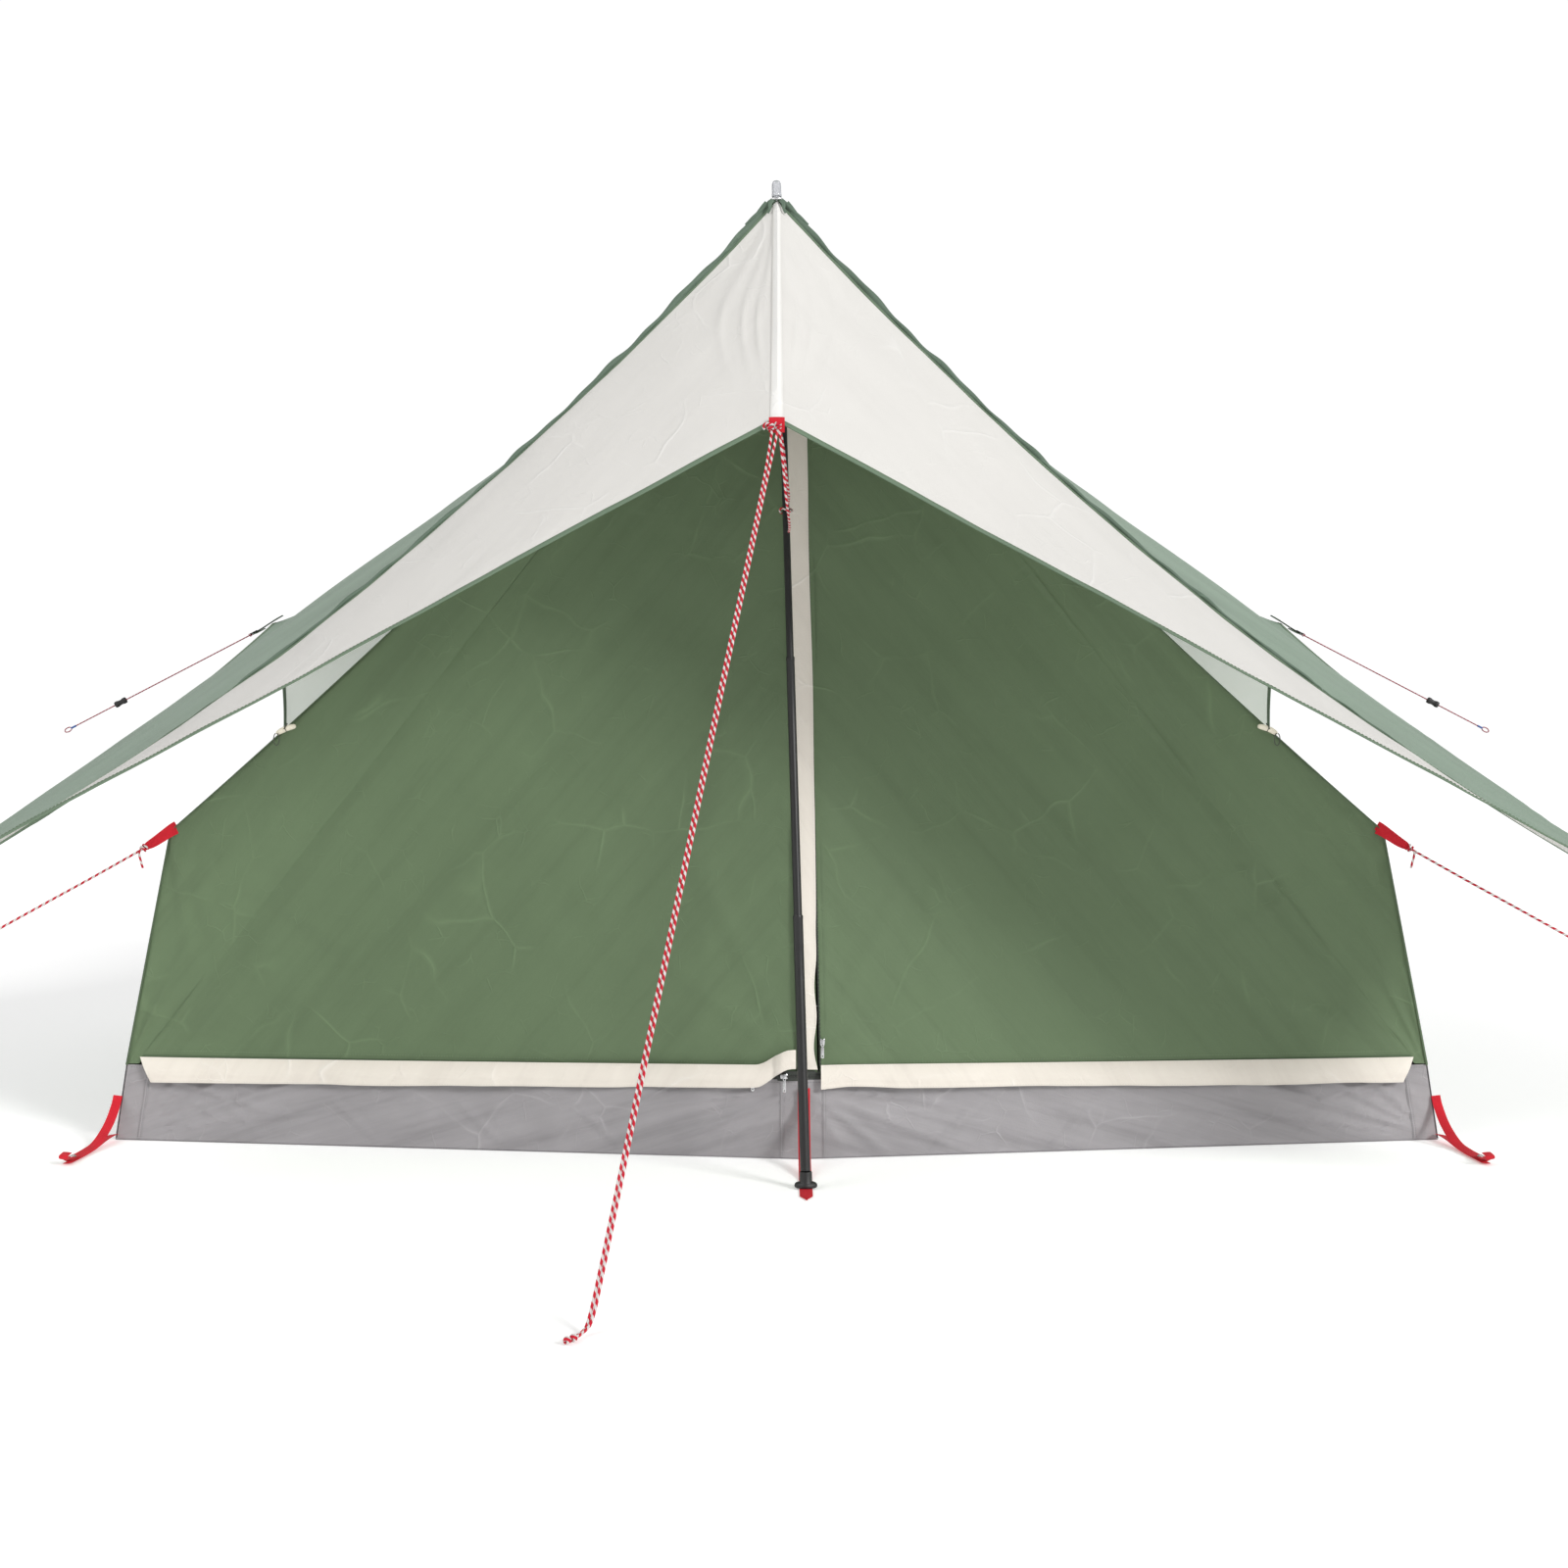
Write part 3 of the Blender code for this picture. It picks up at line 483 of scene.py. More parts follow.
# ---- stitches: pitch, length, width and lift ----
EDGE_STITCH = (0.0075, 0.005, 0.0009, 0.0018)
HEM_STITCH = (0.0075, 0.005, 0.0008, 0.0016)
SEAM_STITCH = (0.0075, 0.005, 0.0008, 0.0018)
TAPE_STITCH = (0.007, 0.0046, 0.0007, 0.0006)
TAB_STITCH = (0.0035, 0.0024, 0.0006, 0.0004)
SIDE_WEB_STITCH = (0.0036, 0.0024, 0.0006, 0.0002)
LEAF_STITCH = (0.0062, 0.004, 0.0007, 0.0006)
TUB_STITCH = (0.005, 0.0032, 0.0008, 0.0003)
TUB_TOP_STITCH = (0.006, 0.004, 0.0008, 0.0005)
FLAP_STITCH = (0.0058, 0.0038, 0.0007, 0.0006)
STRAP_STITCH = (0.0042, 0.0028, 0.0007, 0.0003)

# ---- body and slot of the pieces that stand still ----
ON_FLY = ("root", "fly_cloth")
ON_WEB = ("root", "webbing")
ON_FLY_WEB = ("root", "fly_webbing")
ON_CORD = ("root", "cord")
ON_INNER_TENT = ("root", "inner_cloth")
ON_TUB = ("root", "groundsheet")
ON_FLAP = ("root", "flap_cloth")
ON_BEAK_CLOTH = ("root", "beak_cloth")
ON_METAL = ("root", "zip_metal")
ON_FITTING = ("root", "runner")
ON_TOGGLE_SLOT = ("root", "toggle")


# ---- mesh building ----
def add_piece(name, points, faces, finishes, body, slot, uv=None, face_finish=None, smooth=True, sharp=40):
    """A mesh piece that rides on a body. finishes is one material or a list that face_finish indexes."""
    mesh = bpy.data.meshes.new(name)
    mesh.from_pydata(np.asarray(points, float).tolist(), [], [list(map(int, f)) for f in faces])
    for finish in finishes if isinstance(finishes, (list, tuple)) else [finishes]:
        mesh.materials.append(finish)
    if face_finish is not None:
        mesh.polygons.foreach_set("material_index", np.asarray(face_finish, np.int32))
    if uv is not None:
        layer = mesh.uv_layers.new(name="metres")
        corners = np.empty(len(mesh.loops), np.int32)
        mesh.loops.foreach_get("vertex_index", corners)
        layer.data.foreach_set("uv", np.asarray(uv, np.float32)[corners].ravel())
    if smooth:
        mesh.shade_smooth()
        mesh.set_sharp_from_angle(angle=math.radians(sharp))
    item = bpy.data.objects.new(name, mesh)
    bpy.context.scene.collection.objects.link(item)
    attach(item, body)
    return item


def ring_faces(rings, count, capped=True, closed=False, first=0):
    """Faces between rings of count points each; the ends are capped, or the last ring joins the first."""
    faces = []
    for r in range(rings if closed else rings - 1):
        after = (r + 1) % rings
        for k in range(count):
            near = (k + 1) % count
            faces.append([r * count + k, r * count + near, after * count + near, after * count + k])
    if capped:
        faces.append(list(range(count))[::-1])
        faces.append([(rings - 1) * count + k for k in range(count)])
    return [[i + first for i in face] for face in faces]


def grid_faces(rows, columns, start=0, flip=False):
    corner = np.arange(rows - 1)[:, None] * columns + np.arange(columns - 1)
    ring = np.stack([corner, corner + columns, corner + columns + 1, corner + 1], axis=-1)
    ring = ring.reshape(-1, 4) + start
    return ring[:, [0, 3, 2, 1]] if flip else ring


class Cloth:
    """A sheet on a grid of points, pushed along its normal by relief, with UVs in metres."""

    def __init__(self, points, outward, relief=None):
        points = np.asarray(points, float)
        normal = self.normals(points)
        if np.sum(normal * np.asarray(outward, float)) < 0:
            points = points[:, ::-1]
            normal = -normal[:, ::-1]
            relief = None if relief is None else relief[:, ::-1]
            self.turned = True
        else:
            self.turned = False
        if relief is not None:
            points = points + normal * relief[..., None]
        self.points = points
        self.normal = self.normals(points)
        down = np.linalg.norm(np.diff(points, axis=0), axis=2)
        over = np.linalg.norm(np.diff(points, axis=1), axis=2)
        self.v = np.concatenate([np.zeros((1, points.shape[1])), np.cumsum(down, axis=0)])
        self.u = np.concatenate([np.zeros((points.shape[0], 1)), np.cumsum(over, axis=1)], axis=1)

    @staticmethod
    def normals(points):
        across = np.cross(np.gradient(points, axis=0), np.gradient(points, axis=1))
        return across / np.maximum(np.linalg.norm(across, axis=2, keepdims=True), 1e-12)

    def area(self):
        p = self.points
        first = np.cross(p[1:, :-1] - p[:-1, :-1], p[:-1, 1:] - p[:-1, :-1])
        second = np.cross(p[:-1, 1:] - p[1:, 1:], p[1:, :-1] - p[1:, 1:])
        return float((np.linalg.norm(first, axis=2) + np.linalg.norm(second, axis=2)).sum() / 2)

    def read(self, rows, columns):
        """Points and normals at shares of the grid's height and width."""
        if self.turned:
            columns = 1 - np.asarray(columns, float)
        rows, columns = np.broadcast_arrays(np.asarray(rows, float), np.asarray(columns, float))
        r = np.clip(rows, 0, 1) * (self.points.shape[0] - 1)
        c = np.clip(columns, 0, 1) * (self.points.shape[1] - 1)
        r0 = np.minimum(r.astype(int), self.points.shape[0] - 2)
        c0 = np.minimum(c.astype(int), self.points.shape[1] - 2)
        fr, fc = (r - r0)[..., None], (c - c0)[..., None]
        out = []
        for field in (self.points, self.normal):
            low = field[r0, c0] * (1 - fc) + field[r0, c0 + 1] * fc
            high = field[r0 + 1, c0] * (1 - fc) + field[r0 + 1, c0 + 1] * fc
            out.append(low * (1 - fr) + high * fr)
        return out[0], unit(out[1])

    def sew(self, name, rows, columns, finish, body, slot, *sizes):
        """A row of stitches along a line of the sheet; sizes are pitch, length, width and lift."""
        return stitches(name, *self.read(rows, columns), finish, body, slot, *sizes)

    def piece(self, name, finishes, body, slot, thickness=CLOTH, held="stretched", flat=True):
        """Both faces and the rim, in one cloth or in (outside, inside)."""
        rows, columns = self.points.shape[:2]
        finishes = finishes if isinstance(finishes, tuple) else (finishes, finishes)
        half = self.normal * thickness / 2
        points = np.concatenate([(self.points + half).reshape(-1, 3), (self.points - half).reshape(-1, 3)])
        uv = np.stack([self.u, self.v], axis=-1).reshape(-1, 2)
        top = grid_faces(rows, columns)
        under = grid_faces(rows, columns, rows * columns, flip=True)
        rim = np.concatenate([np.arange(columns), np.arange(1, rows) * columns + columns - 1,
                              (rows - 1) * columns + np.arange(columns - 2, -1, -1),
                              np.arange(rows - 2, 0, -1) * columns])
        after = np.roll(rim, -1)
        side = np.stack([rim, after, after + rows * columns, rim + rows * columns], axis=-1)
        faces = np.concatenate([top, under, side])
        kinds = [0] * len(top) + [1] * len(under) + [0] * len(side)
        item = add_piece(name, points, faces, finishes, body, slot, np.concatenate([uv, uv]), kinds, sharp=55)
        if flat:
            share = self.area()
        return item


def tube(name, path, radius, finish, body, slot, sides=10, taper=None):
    """A round tube along a path, with parallel-carried rings. U runs round it and V along it in metres."""
    path = np.asarray(path, float)
    along = unit(np.gradient(path, axis=0))
    ring_up = np.cross(along[0], (0, 0, 1))
    if np.linalg.norm(ring_up) < 1e-3:
        ring_up = np.cross(along[0], (1, 0, 0))
    ring_up = unit(ring_up)
    angles = np.linspace(0, math.tau, sides + 1)
    steps = distances(path)
    size = np.full(len(path), radius) if taper is None else radius * np.asarray(taper, float)
    points = []
    for k, direction in enumerate(along):
        ring_up = unit(ring_up - direction * np.dot(ring_up, direction))
        other = np.cross(direction, ring_up)
        for a in angles[:-1]:
            points.append(path[k] + (ring_up * math.cos(a) + other * math.sin(a)) * size[k])
    faces = ring_faces(len(path), sides)
    mesh_uv = []
    for k in range(len(path) - 1):
        for j in range(sides):
            for dk, dj in ((0, 0), (0, 1), (1, 1), (1, 0)):
                mesh_uv.append(((j + dj) / sides, steps[k + dk]))
    mesh_uv += [(0.5, 0.0)] * sides + [(0.5, steps[-1])] * sides
    item = add_piece(name, points, faces, finish, body, slot, sharp=70)
    layer = item.data.uv_layers.new(name="metres")
    layer.data.foreach_set("uv", np.asarray(mesh_uv, np.float32).ravel())
    return item


def lathe(name, profile, start, direction, finish, body, slot, segments=32, shape=None, sharp=35):
    """A turned piece. shape(angle, radius, height) may change a point's radius. The profile runs up the
    outside; it closes on itself unless its ends lie on the axis."""
    along = unit(direction)
    side = np.cross(along, (0, 1, 0))
    if np.linalg.norm(side) < 0.1:
        side = np.cross(along, (1, 0, 0))
    side = unit(side)
    other = np.cross(along, side)
    solid = profile[0][0] == 0
    rings = profile[1:-1] if solid else profile
    angles = np.arange(segments) * math.tau / segments
    points = []
    for radius, height in rings:
        for a in angles:
            reach = shape(a, radius, height) if shape else radius
            points.append(np.asarray(start) + along * height
                          + (side * math.cos(a) + other * math.sin(a)) * reach)
    faces = ring_faces(len(rings), segments, solid, not solid)
    item = add_piece(name, points, faces, finish, body, slot, sharp=sharp)
    face_out(item)
    return item


def face_out(item):
    """Turns a closed mesh's faces outwards."""
    mesh = item.data
    mesh.calc_loop_triangles()
    corners = np.array([[mesh.vertices[i].co[:] for i in t.vertices] for t in mesh.loop_triangles])
    if np.einsum("ij,ij->i", corners[:, 0], np.cross(corners[:, 1], corners[:, 2])).sum() < 0:
        mesh.flip_normals()


def strap(name, path, width, across, finish, body, slot, thickness=0.0016, widths=None):
    """A flat woven strap with rounded selvedges along a path. across is one vector, or one for each point."""
    path = np.asarray(path, float)
    across = np.broadcast_to(np.asarray(across, float), path.shape)
    along = unit(np.gradient(path, axis=0))
    across = unit(across - along * np.sum(across * along, axis=1, keepdims=True))
    out = np.cross(across, along)
    widths = np.ones(len(path)) if widths is None else np.asarray(widths, float)
    outline = []
    for t in np.linspace(-1, 1, 7):
        outline.append((t, 0.5 * min(1.0, 1.7 * (1.06 - abs(t)))))
    outline += [(t, -h) for t, h in reversed(outline)]
    steps = distances(path)
    points, uv = [], []
    for k in range(len(path)):
        for t, h in outline:
            points.append(path[k] + across[k] * t * width / 2 * widths[k] + out[k] * (h * thickness))
            uv.append((t * width / 2, steps[k]))
    faces = ring_faces(len(path), len(outline))
    item = add_piece(name, points, faces, finish, body, slot, uv, sharp=50)
    face_out(item)
    return item


def stitches(name, points, normals, finish, body, slot, pitch, length, width, lift):
    """A row of thread stitches that lie on a surface along a path."""
    points, normals = np.asarray(points, float), np.asarray(normals, float)
    steps = distances(points)
    spots = np.arange(pitch, steps[-1] - pitch, pitch)
    centre = read_path(points, steps, spots)
    ahead = read_path(points, steps, spots + READ_AHEAD)
    up = unit(read_path(normals, steps, spots))
    along = unit(ahead - centre)
    side = np.cross(up, along)
    corners = [(-1, 0, 0), (-0.55, -1, 0.7), (-0.55, 1, 0.7), (0.55, 1, 0.7), (0.55, -1, 0.7), (1, 0, 0),
               (0, 0, -0.6)]
    shape = [[0, 1, 2], [1, 4, 3, 2], [4, 5, 3], [0, 2, 6], [2, 3, 6], [3, 5, 6], [5, 4, 6], [4, 1, 6],
             [1, 0, 6]]
    verts, faces = [], []
    for k in range(len(spots)):
        for a, b, c in corners:
            verts.append(centre[k] + along[k] * a * length / 2 + side[k] * b * width / 2
                         + up[k] * (c * width + lift))
        faces += [[i + 7 * k for i in face] for face in shape]
    return add_piece(name, verts, faces, finish, body, slot, smooth=False)


def edge_binding(name, edge, normal, inward, width, finish, body, slot, thickness=0.0011):
    """Tape folded over a cloth's edge. inward points from the edge into the cloth."""
    edge, normal = np.asarray(edge, float), unit(normal)
    inward = unit(inward)
    half = CLOTH / 2 + thickness
    outline = [(1.0, 0.55), (0.5, 0.95), (0.0, 1.0), (-0.1, 0.7), (-0.14, 0.0), (-0.1, -0.7), (0.0, -1.0),
               (0.5, -0.95), (1.0, -0.55)]
    steps = distances(edge)
    points, uv = [], []
    for k in range(len(edge)):
        for a, b in outline:
            points.append(edge[k] + inward[k] * a * width + normal[k] * b * half)
            uv.append((a * width, steps[k]))
    faces = ring_faces(len(edge), len(outline))
    item = add_piece(name, points, faces, finish, body, slot, uv, sharp=50)
    face_out(item)
    return item


def side_name(x_side):
    return "left" if x_side == LEFT else "right"


def where_name(y_side):
    return "front" if y_side == FRONT else "rear"


def corner_name(x_side, y_side):
    return f"{where_name(y_side)}_{side_name(x_side)}"


# ---- the poles ----
def pole_point(end, height):
    foot, peak = place(POLE_FOOT, 1, end), place(PEAK, 1, end)
    return foot + (peak - foot) * (height - foot[2]) / (peak[2] - foot[2])


def poles():
    for end, where in ENDS:
        axis = place(PEAK, 1, end) - place(POLE_FOOT, 1, end)
        slant = float(np.linalg.norm(axis) / axis[2])

        def eared(angle, radius, height):
            reach = max(0.0, math.cos(angle)) ** 6 + max(0.0, -math.cos(angle)) ** 6
            return radius + 0.0062 * reach * (1 if height < 0.012 else 0)

        foot = lathe(f"foot_cap_{where}",
                     [(0, 0.0), (0.014, 0.0), (0.016, 0.0016), (0.0166, 0.0045), (0.0158, 0.0075),
                      (0.0138, 0.01), (0.0126, 0.0125), (0.0122, 0.029), (0.0116, 0.0315), (0, 0.0315)],
                     place(POLE_FOOT, 1, end), (0, 0, 1), BLACK, "root", "pole_foot", 64, eared)
        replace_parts(foot, f"pole_foot_{where}")
        for k, diameter in enumerate(POLE_DIAMETERS):
            low = POLE_LEVELS[k] - (POLE_OVERLAP if k else 0.0)
            length = (POLE_LEVELS[k + 1] - low) * slant
            outer, inner = diameter / 2, diameter / 2 - POLE_WALL
            profile = [(outer, 0), (outer, length * 0.25), (outer, length * 0.5), (outer, length * 0.75),
                       (outer, length - 0.0085), (outer + 0.00025, length - 0.0078),
                       (outer + 0.00045, length - 0.003), (outer + 0.0003, length - 0.0012),
                       (outer - 0.0002, length), (inner, length), (inner, 0)]
            body = "root" if k == 0 else f"pole_{where}_section_{k + 1}"
            item = lathe(f"tube_{k + 1}_{where}", profile, pole_point(end, low), axis, POLE, body,
                         "pole_steel", 40)
            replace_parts(item, f"pole_tube_{k + 1}_{where}")
        start = POLE_LEVELS[-1] + 0.0005
        length = (TIP_TOP - start) * slant
        neck = length - TIP_CAP_HEIGHT
        cap = [(0, 0), (0.0055, 0), (0.0055, neck - 0.001), (0.0062, neck), (0.0098, neck + 0.0004),
               (TIP_CAP_RADIUS, neck + 0.0016), (TIP_CAP_RADIUS, neck + 0.006), (0.0099, neck + 0.0072),
               (0.0098, length - 0.012), (0.0093, length - 0.006), (0.0078, length - 0.0022),
               (0.005, length - 0.0004), (0.002, length), (0, length)]
        item = lathe(f"tip_cap_{where}", cap, pole_point(end, start), axis, CLEAR, f"pole_{where}_section_4",
                     "pole_tip", 40, sharp=50)
        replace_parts(item, f"pole_tip_{where}")


# ---- the fly's surfaces ----
def beak_seam(x_side, y_side, along):
    peak, corner = place(PEAK, x_side, y_side), place(FLY_CORNER, x_side, y_side)
    points = peak + (corner - peak) * along[:, None]
    points[:, 2] -= SEAM_SAG * 4 * along * (1 - along)
    return points


def middle_section(x_side, along):
    ridge, edge = np.array((0, 0, RIDGE_MIDDLE)), place(FLY_MIDDLE_EDGE, x_side, 1)
    points = ridge + (edge - ridge) * along[:, None]
    points[:, 2] -= MIDDLE_SAG * 4 * along * (1 - along)
    return points


def roof_point(x_side, along, back):
    """The roof at shares along (ridge to edge) and back (-1 the front seam, 1 the rear seam)."""
    y_side = FRONT if back < 0 else REAR
    share = 1 - abs(back)
    end, middle = beak_seam(x_side, y_side, along), middle_section(x_side, along)
    points = end + (middle - end) * share
    points[:, 2] += ROOF_CROWN * 4 * share * (1 - share) * np.sin(math.pi * along)
    points[:, 0] -= x_side * EDGE_SAG * 4 * share * (1 - share) * along**3
    return points


def roof_relief(points):
    """Tension creases from the corners, the peaks and the middle strap, over a slight quilt."""
    x, y = np.abs(points[..., 0]), points[..., 1]
    relief = 0.004 * layered(x, y, 0.55, 11) + 0.0016 * layered(x, y, 0.16, 12, 2)
    for sign, seed in ((FRONT, 3), (REAR, 8)):
        corner = (FLY_CORNER[0], sign * FLY_CORNER[1])
        relief += fan(x, y, corner, [180 + a * sign for a in (78, 60, 46, 35, 24, 8)],
                      (0.9, 1.15, 1.35, 1.2, 1.0, 0.7), 0.03, 0.0065, seed)
        relief += fan(x, y, (0.02, sign * PEAK[1]), [a * -sign for a in (-62, -38, -18, 14)],
                      (0.55, 0.75, 0.6, 0.5), 0.024, 0.004, seed + 1)
        wave = np.sin(np.hypot(x, y - sign * PEAK[1]) * math.tau / 0.15 + 0.6 * np.sin(9 * x))
        seam_y = sign * (PEAK[1] + (FLY_CORNER[1] - PEAK[1]) * np.clip(x / FLY_CORNER[0], 0, 1))
        near = np.exp(-((y - seam_y) / 0.1) ** 2)
        relief += 0.0042 * wave * near * np.clip(1 - x / 1.7, 0, 1) ** 0.6 * np.clip(x / 0.05, 0, 1)
    relief += fan(x, y, (FLY_MIDDLE_EDGE[0], 0.0), (118, 145, 170, 196, 222, 244),
                  (0.5, 0.7, 0.8, 0.75, 0.65, 0.5), 0.028, 0.005, 21)
    return relief


def fly_roofs():
    panels = {}
    backs = np.linspace(-1, 1, 161)
    alongs = np.concatenate([[0.0], np.linspace(0.01, 1, 98)])
    for x_side, side in SIDES:
        points = np.stack([roof_point(x_side, alongs, float(b)) for b in backs], axis=1)
        edge = np.minimum(alongs / 0.04, 1.0)[:, None] * np.clip((1.0 - alongs) / 0.03 + 0.25, 0, 1)[:, None]
        panel = Cloth(points, (0, 0, 1), roof_relief(points) * edge)
        item = panel.piece(f"roof_{side}", (FLY_OUT, FLY_IN), *ON_FLY, FLY_THICK)
        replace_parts(item, f"fly_roof_{side}")
        panels[x_side] = panel
    return panels


def roof_edges(panels):
    """Bindings and stitches along the roof's free edge, and the tape over its ridge."""
    share = shares(141)
    for x_side, side in SIDES:
        panel = panels[x_side]
        edge, normal = panel.read(1.0, share)
        inner, _ = panel.read(0.985, share)
        edge_binding(f"roof_edge_{side}", edge, normal, inner - edge, 0.01, BINDING, *ON_FLY, 0.0009)
        panel.sew(f"roof_edge_stitch_{side}", 0.9935, share, THREAD_GREEN, *ON_FLY, *EDGE_STITCH)
    ridge, _ = panels[RIGHT].read(0.0, shares(161))
    aims = {}
    for x_side in (LEFT, RIGHT):
        beside = panels[x_side].read(0.006, shares(161))[0]
        if (beside[0, 1] > 0) != (ridge[0, 1] > 0):
            beside = beside[::-1]
        aims[x_side] = unit(beside - ridge)
    rows = []
    for t, lift in ((-1, 0.0009), (-0.5, 0.0016), (0, 0.003), (0.5, 0.0016), (1, 0.0009)):
        aim = aims[LEFT if t < 0 else RIGHT]
        rows.append(ridge + aim * abs(t) * RIDGE_TAPE_HALF + np.array((0, 0, lift)))
    tape = Cloth(np.stack(rows), (0, 0, 1))
    tape.piece("ridge_tape", SEAM_EDGE, *ON_FLY, 0.0012, flat=False)


def beak_rows(x_side, y_side, half):
    seam = beak_seam(x_side, y_side, half)
    tip, corner = place(BEAK_TIP, 1, y_side), place(FLY_CORNER, x_side, y_side)
    hem = tip + (corner - tip) * half[:, None]
    away = unit(hem - seam)
    seam = seam + away * np.where(half == 0, 0.004, BEAK_SEAM_GAP)[:, None]
    return seam, hem


def beak_relief(points, y_side):
    x, z = points[..., 0], points[..., 2]
    drop = PEAK[2] - z
    relief = 0.0022 * layered(x + 9 * y_side, z, 0.45, 31) + 0.0009 * layered(x, z, 0.12, 33 + y_side, 2)
    for sign in (LEFT, RIGHT):
        for k, (start, height,
                width) in enumerate(((0.032, 0.0014, 0.005), (0.056, 0.0012, 0.006), (0.092, 0.0009, 0.008))):
            level = (z - (BEAK_TIP[2] + 0.23)) / (0.11 + 0.02 * k)
            bow = start * (0.75 + 0.5 * (1 - np.clip(level, -1, 1) ** 2))
            ridge = np.exp(-(((sign * x - bow) / width) ** 2)) * np.clip(1 - level**2, 0, 1)
            relief += height * ridge
        relief += fan(sign * x, -drop, (0.0, 0.0), (-84, -77, -68, -56), (0.42, 0.36, 0.44, 0.5), 0.01,
                      0.0018, 40 + sign)
        away = (FLY_CORNER[0], -(PEAK[2] - FLY_CORNER[2]))
        relief += fan(sign * x, -drop, away, (139, 143.5, 147), (0.9, 1.1, 0.8), 0.016, 0.0024, 46)
        hem_x = (0.35, 0.62, 0.95, 1.25)
        for k, hx in enumerate(hem_x):
            hz = -(PEAK[2] - (BEAK_TIP[2] + (FLY_CORNER[2] - BEAK_TIP[2]) * hx / FLY_CORNER[0]))
            relief += crease(sign * x, -drop, (hx, hz), (hx - 0.1 - 0.02 * k, hz + 0.12), 0.012, 0.0016)
    return relief


def beaks():
    panels = {}
    half = BEAK_COLUMNS
    across = shares(31)
    for y_side in (FRONT, REAR):
        for x_side in (LEFT, RIGHT):
            seam, hem = beak_rows(x_side, y_side, half)
            points = ruled(seam, hem, across)
            still = np.clip(half / 0.006, 0, 1)[:, None] * np.ones(31)[None]
            hem_calm = 0.35 + 0.65 * np.clip((1 - across) / 0.08, 0, 1)[None]
            seam_calm = np.clip(across / 0.06 + 0.2, 0, 1)[None]
            relief = BEAK_DEPTH * beak_relief(points, y_side) * still * hem_calm * seam_calm
            panel = Cloth(points, (0, y_side, 0.8), relief)
            where = corner_name(x_side, y_side)
            item = panel.piece(f"beak_{where}", BEAK, *ON_BEAK_CLOTH, FLY_THICK)
            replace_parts(item, f"fly_beak_{where_name(y_side)}")
            panels[x_side, y_side] = panel
            share = shares(120)
            hem_line, hem_normal = panel.read(share, 1.0)
            hem_in, _ = panel.read(share, 0.96)
            edge_binding(f"hem_{where}", hem_line, hem_normal, hem_in - hem_line, 0.0115, BINDING, *ON_FLY,
                         0.0011)
            back = 1 - 0.0085 / np.linalg.norm(hem - seam, axis=1)
            row = np.interp(share, shares(len(half)), back)
            panel.sew(f"hem_stitch_{where}", share, row, THREAD_GREEN, *ON_FLY, *HEM_STITCH)
            seam_line, seam_normal = panel.read(share, 0.0)
            seam_in, _ = panel.read(share, 0.05)
            edge_binding(f"seam_{where}", seam_line, seam_normal, seam_in - seam_line, 0.0085, BINDING,
                         *ON_FLY, 0.0013)
            spots, up = panel.read(share, 0.0068 / np.interp(share, shares(len(half)),
                                                             np.linalg.norm(hem - seam, axis=1)))
            stitches(f"seam_stitch_{where}", spots, up, THREAD_GREEN, *ON_FLY, *SEAM_STITCH)
    return panels


def beak_tape(panels):
    """The paler tape down the middle of each beak, with a row of stitches each side."""
    for y_side, where in ENDS:
        left, right = panels[LEFT, y_side], panels[RIGHT, y_side]
        rows = []
        across = np.linspace(0.012, 0.992, 60)
        width = np.linspace(0.008, 0.012, 60)
        for t in (-1, -0.6, 0, 0.6, 1):
            panel = left if t < 0 else right
            share = abs(t) * width / FLY_CORNER[0]
            row = np.interp(share, BEAK_COLUMNS, shares(len(BEAK_COLUMNS)))
            spots, normal = panel.read(row, across)
            rows.append(spots + normal * (0.0013 + 0.0005 * (1 - abs(t))))
        tape = Cloth(np.stack(rows), (0, y_side, 0.8))
        tape.piece(f"beak_tape_{where}", BEAK_TAPE, *ON_BEAK_CLOTH, 0.0008, flat=False)
        for k, share in ((1, 0.1), (2, 0.9)):
            tape.sew(f"beak_tape_stitch_{where}_{k}", share, shares(60), THREAD_PALE, *ON_BEAK_CLOTH,
                     *TAPE_STITCH)


def rolled_seam(name, x_side, y_side):
    """The roof's seam allowance, rolled up and puckered along the upper part of the beak seam."""
    share = np.linspace(0.008, 0.66, 260)
    edge = beak_seam(x_side, y_side, share)
    run = share * 2.55
    stand = unit(np.array((x_side * 0.6, y_side * -0.1, 0.8)))
    height = 0.016 * (1 - share / 0.7) ** 0.55 * (0.68 + 0.16 * np.sin(run * math.tau / 0.21 + 0.4)
                                                  + 0.1 * np.sin(run * math.tau / 0.083))
    lean = 0.004 * np.sin(run * math.tau / 0.11 + 1.0)
    rows = []
    for t in np.linspace(-0.15, 1, 7):
        bulge = 0.0035 * math.sin(math.pi * max(t, 0.0))
        rows.append(edge + stand * (height * t)[:,
                                                None] + np.array((0, y_side,
                                                                  0)) * (lean * max(t, 0) + bulge)[:, None])
    panel = Cloth(np.stack(rows), (0, y_side, 0))
    return panel.piece(name, ROLLED, *ON_FLY, 0.0014, flat=False)


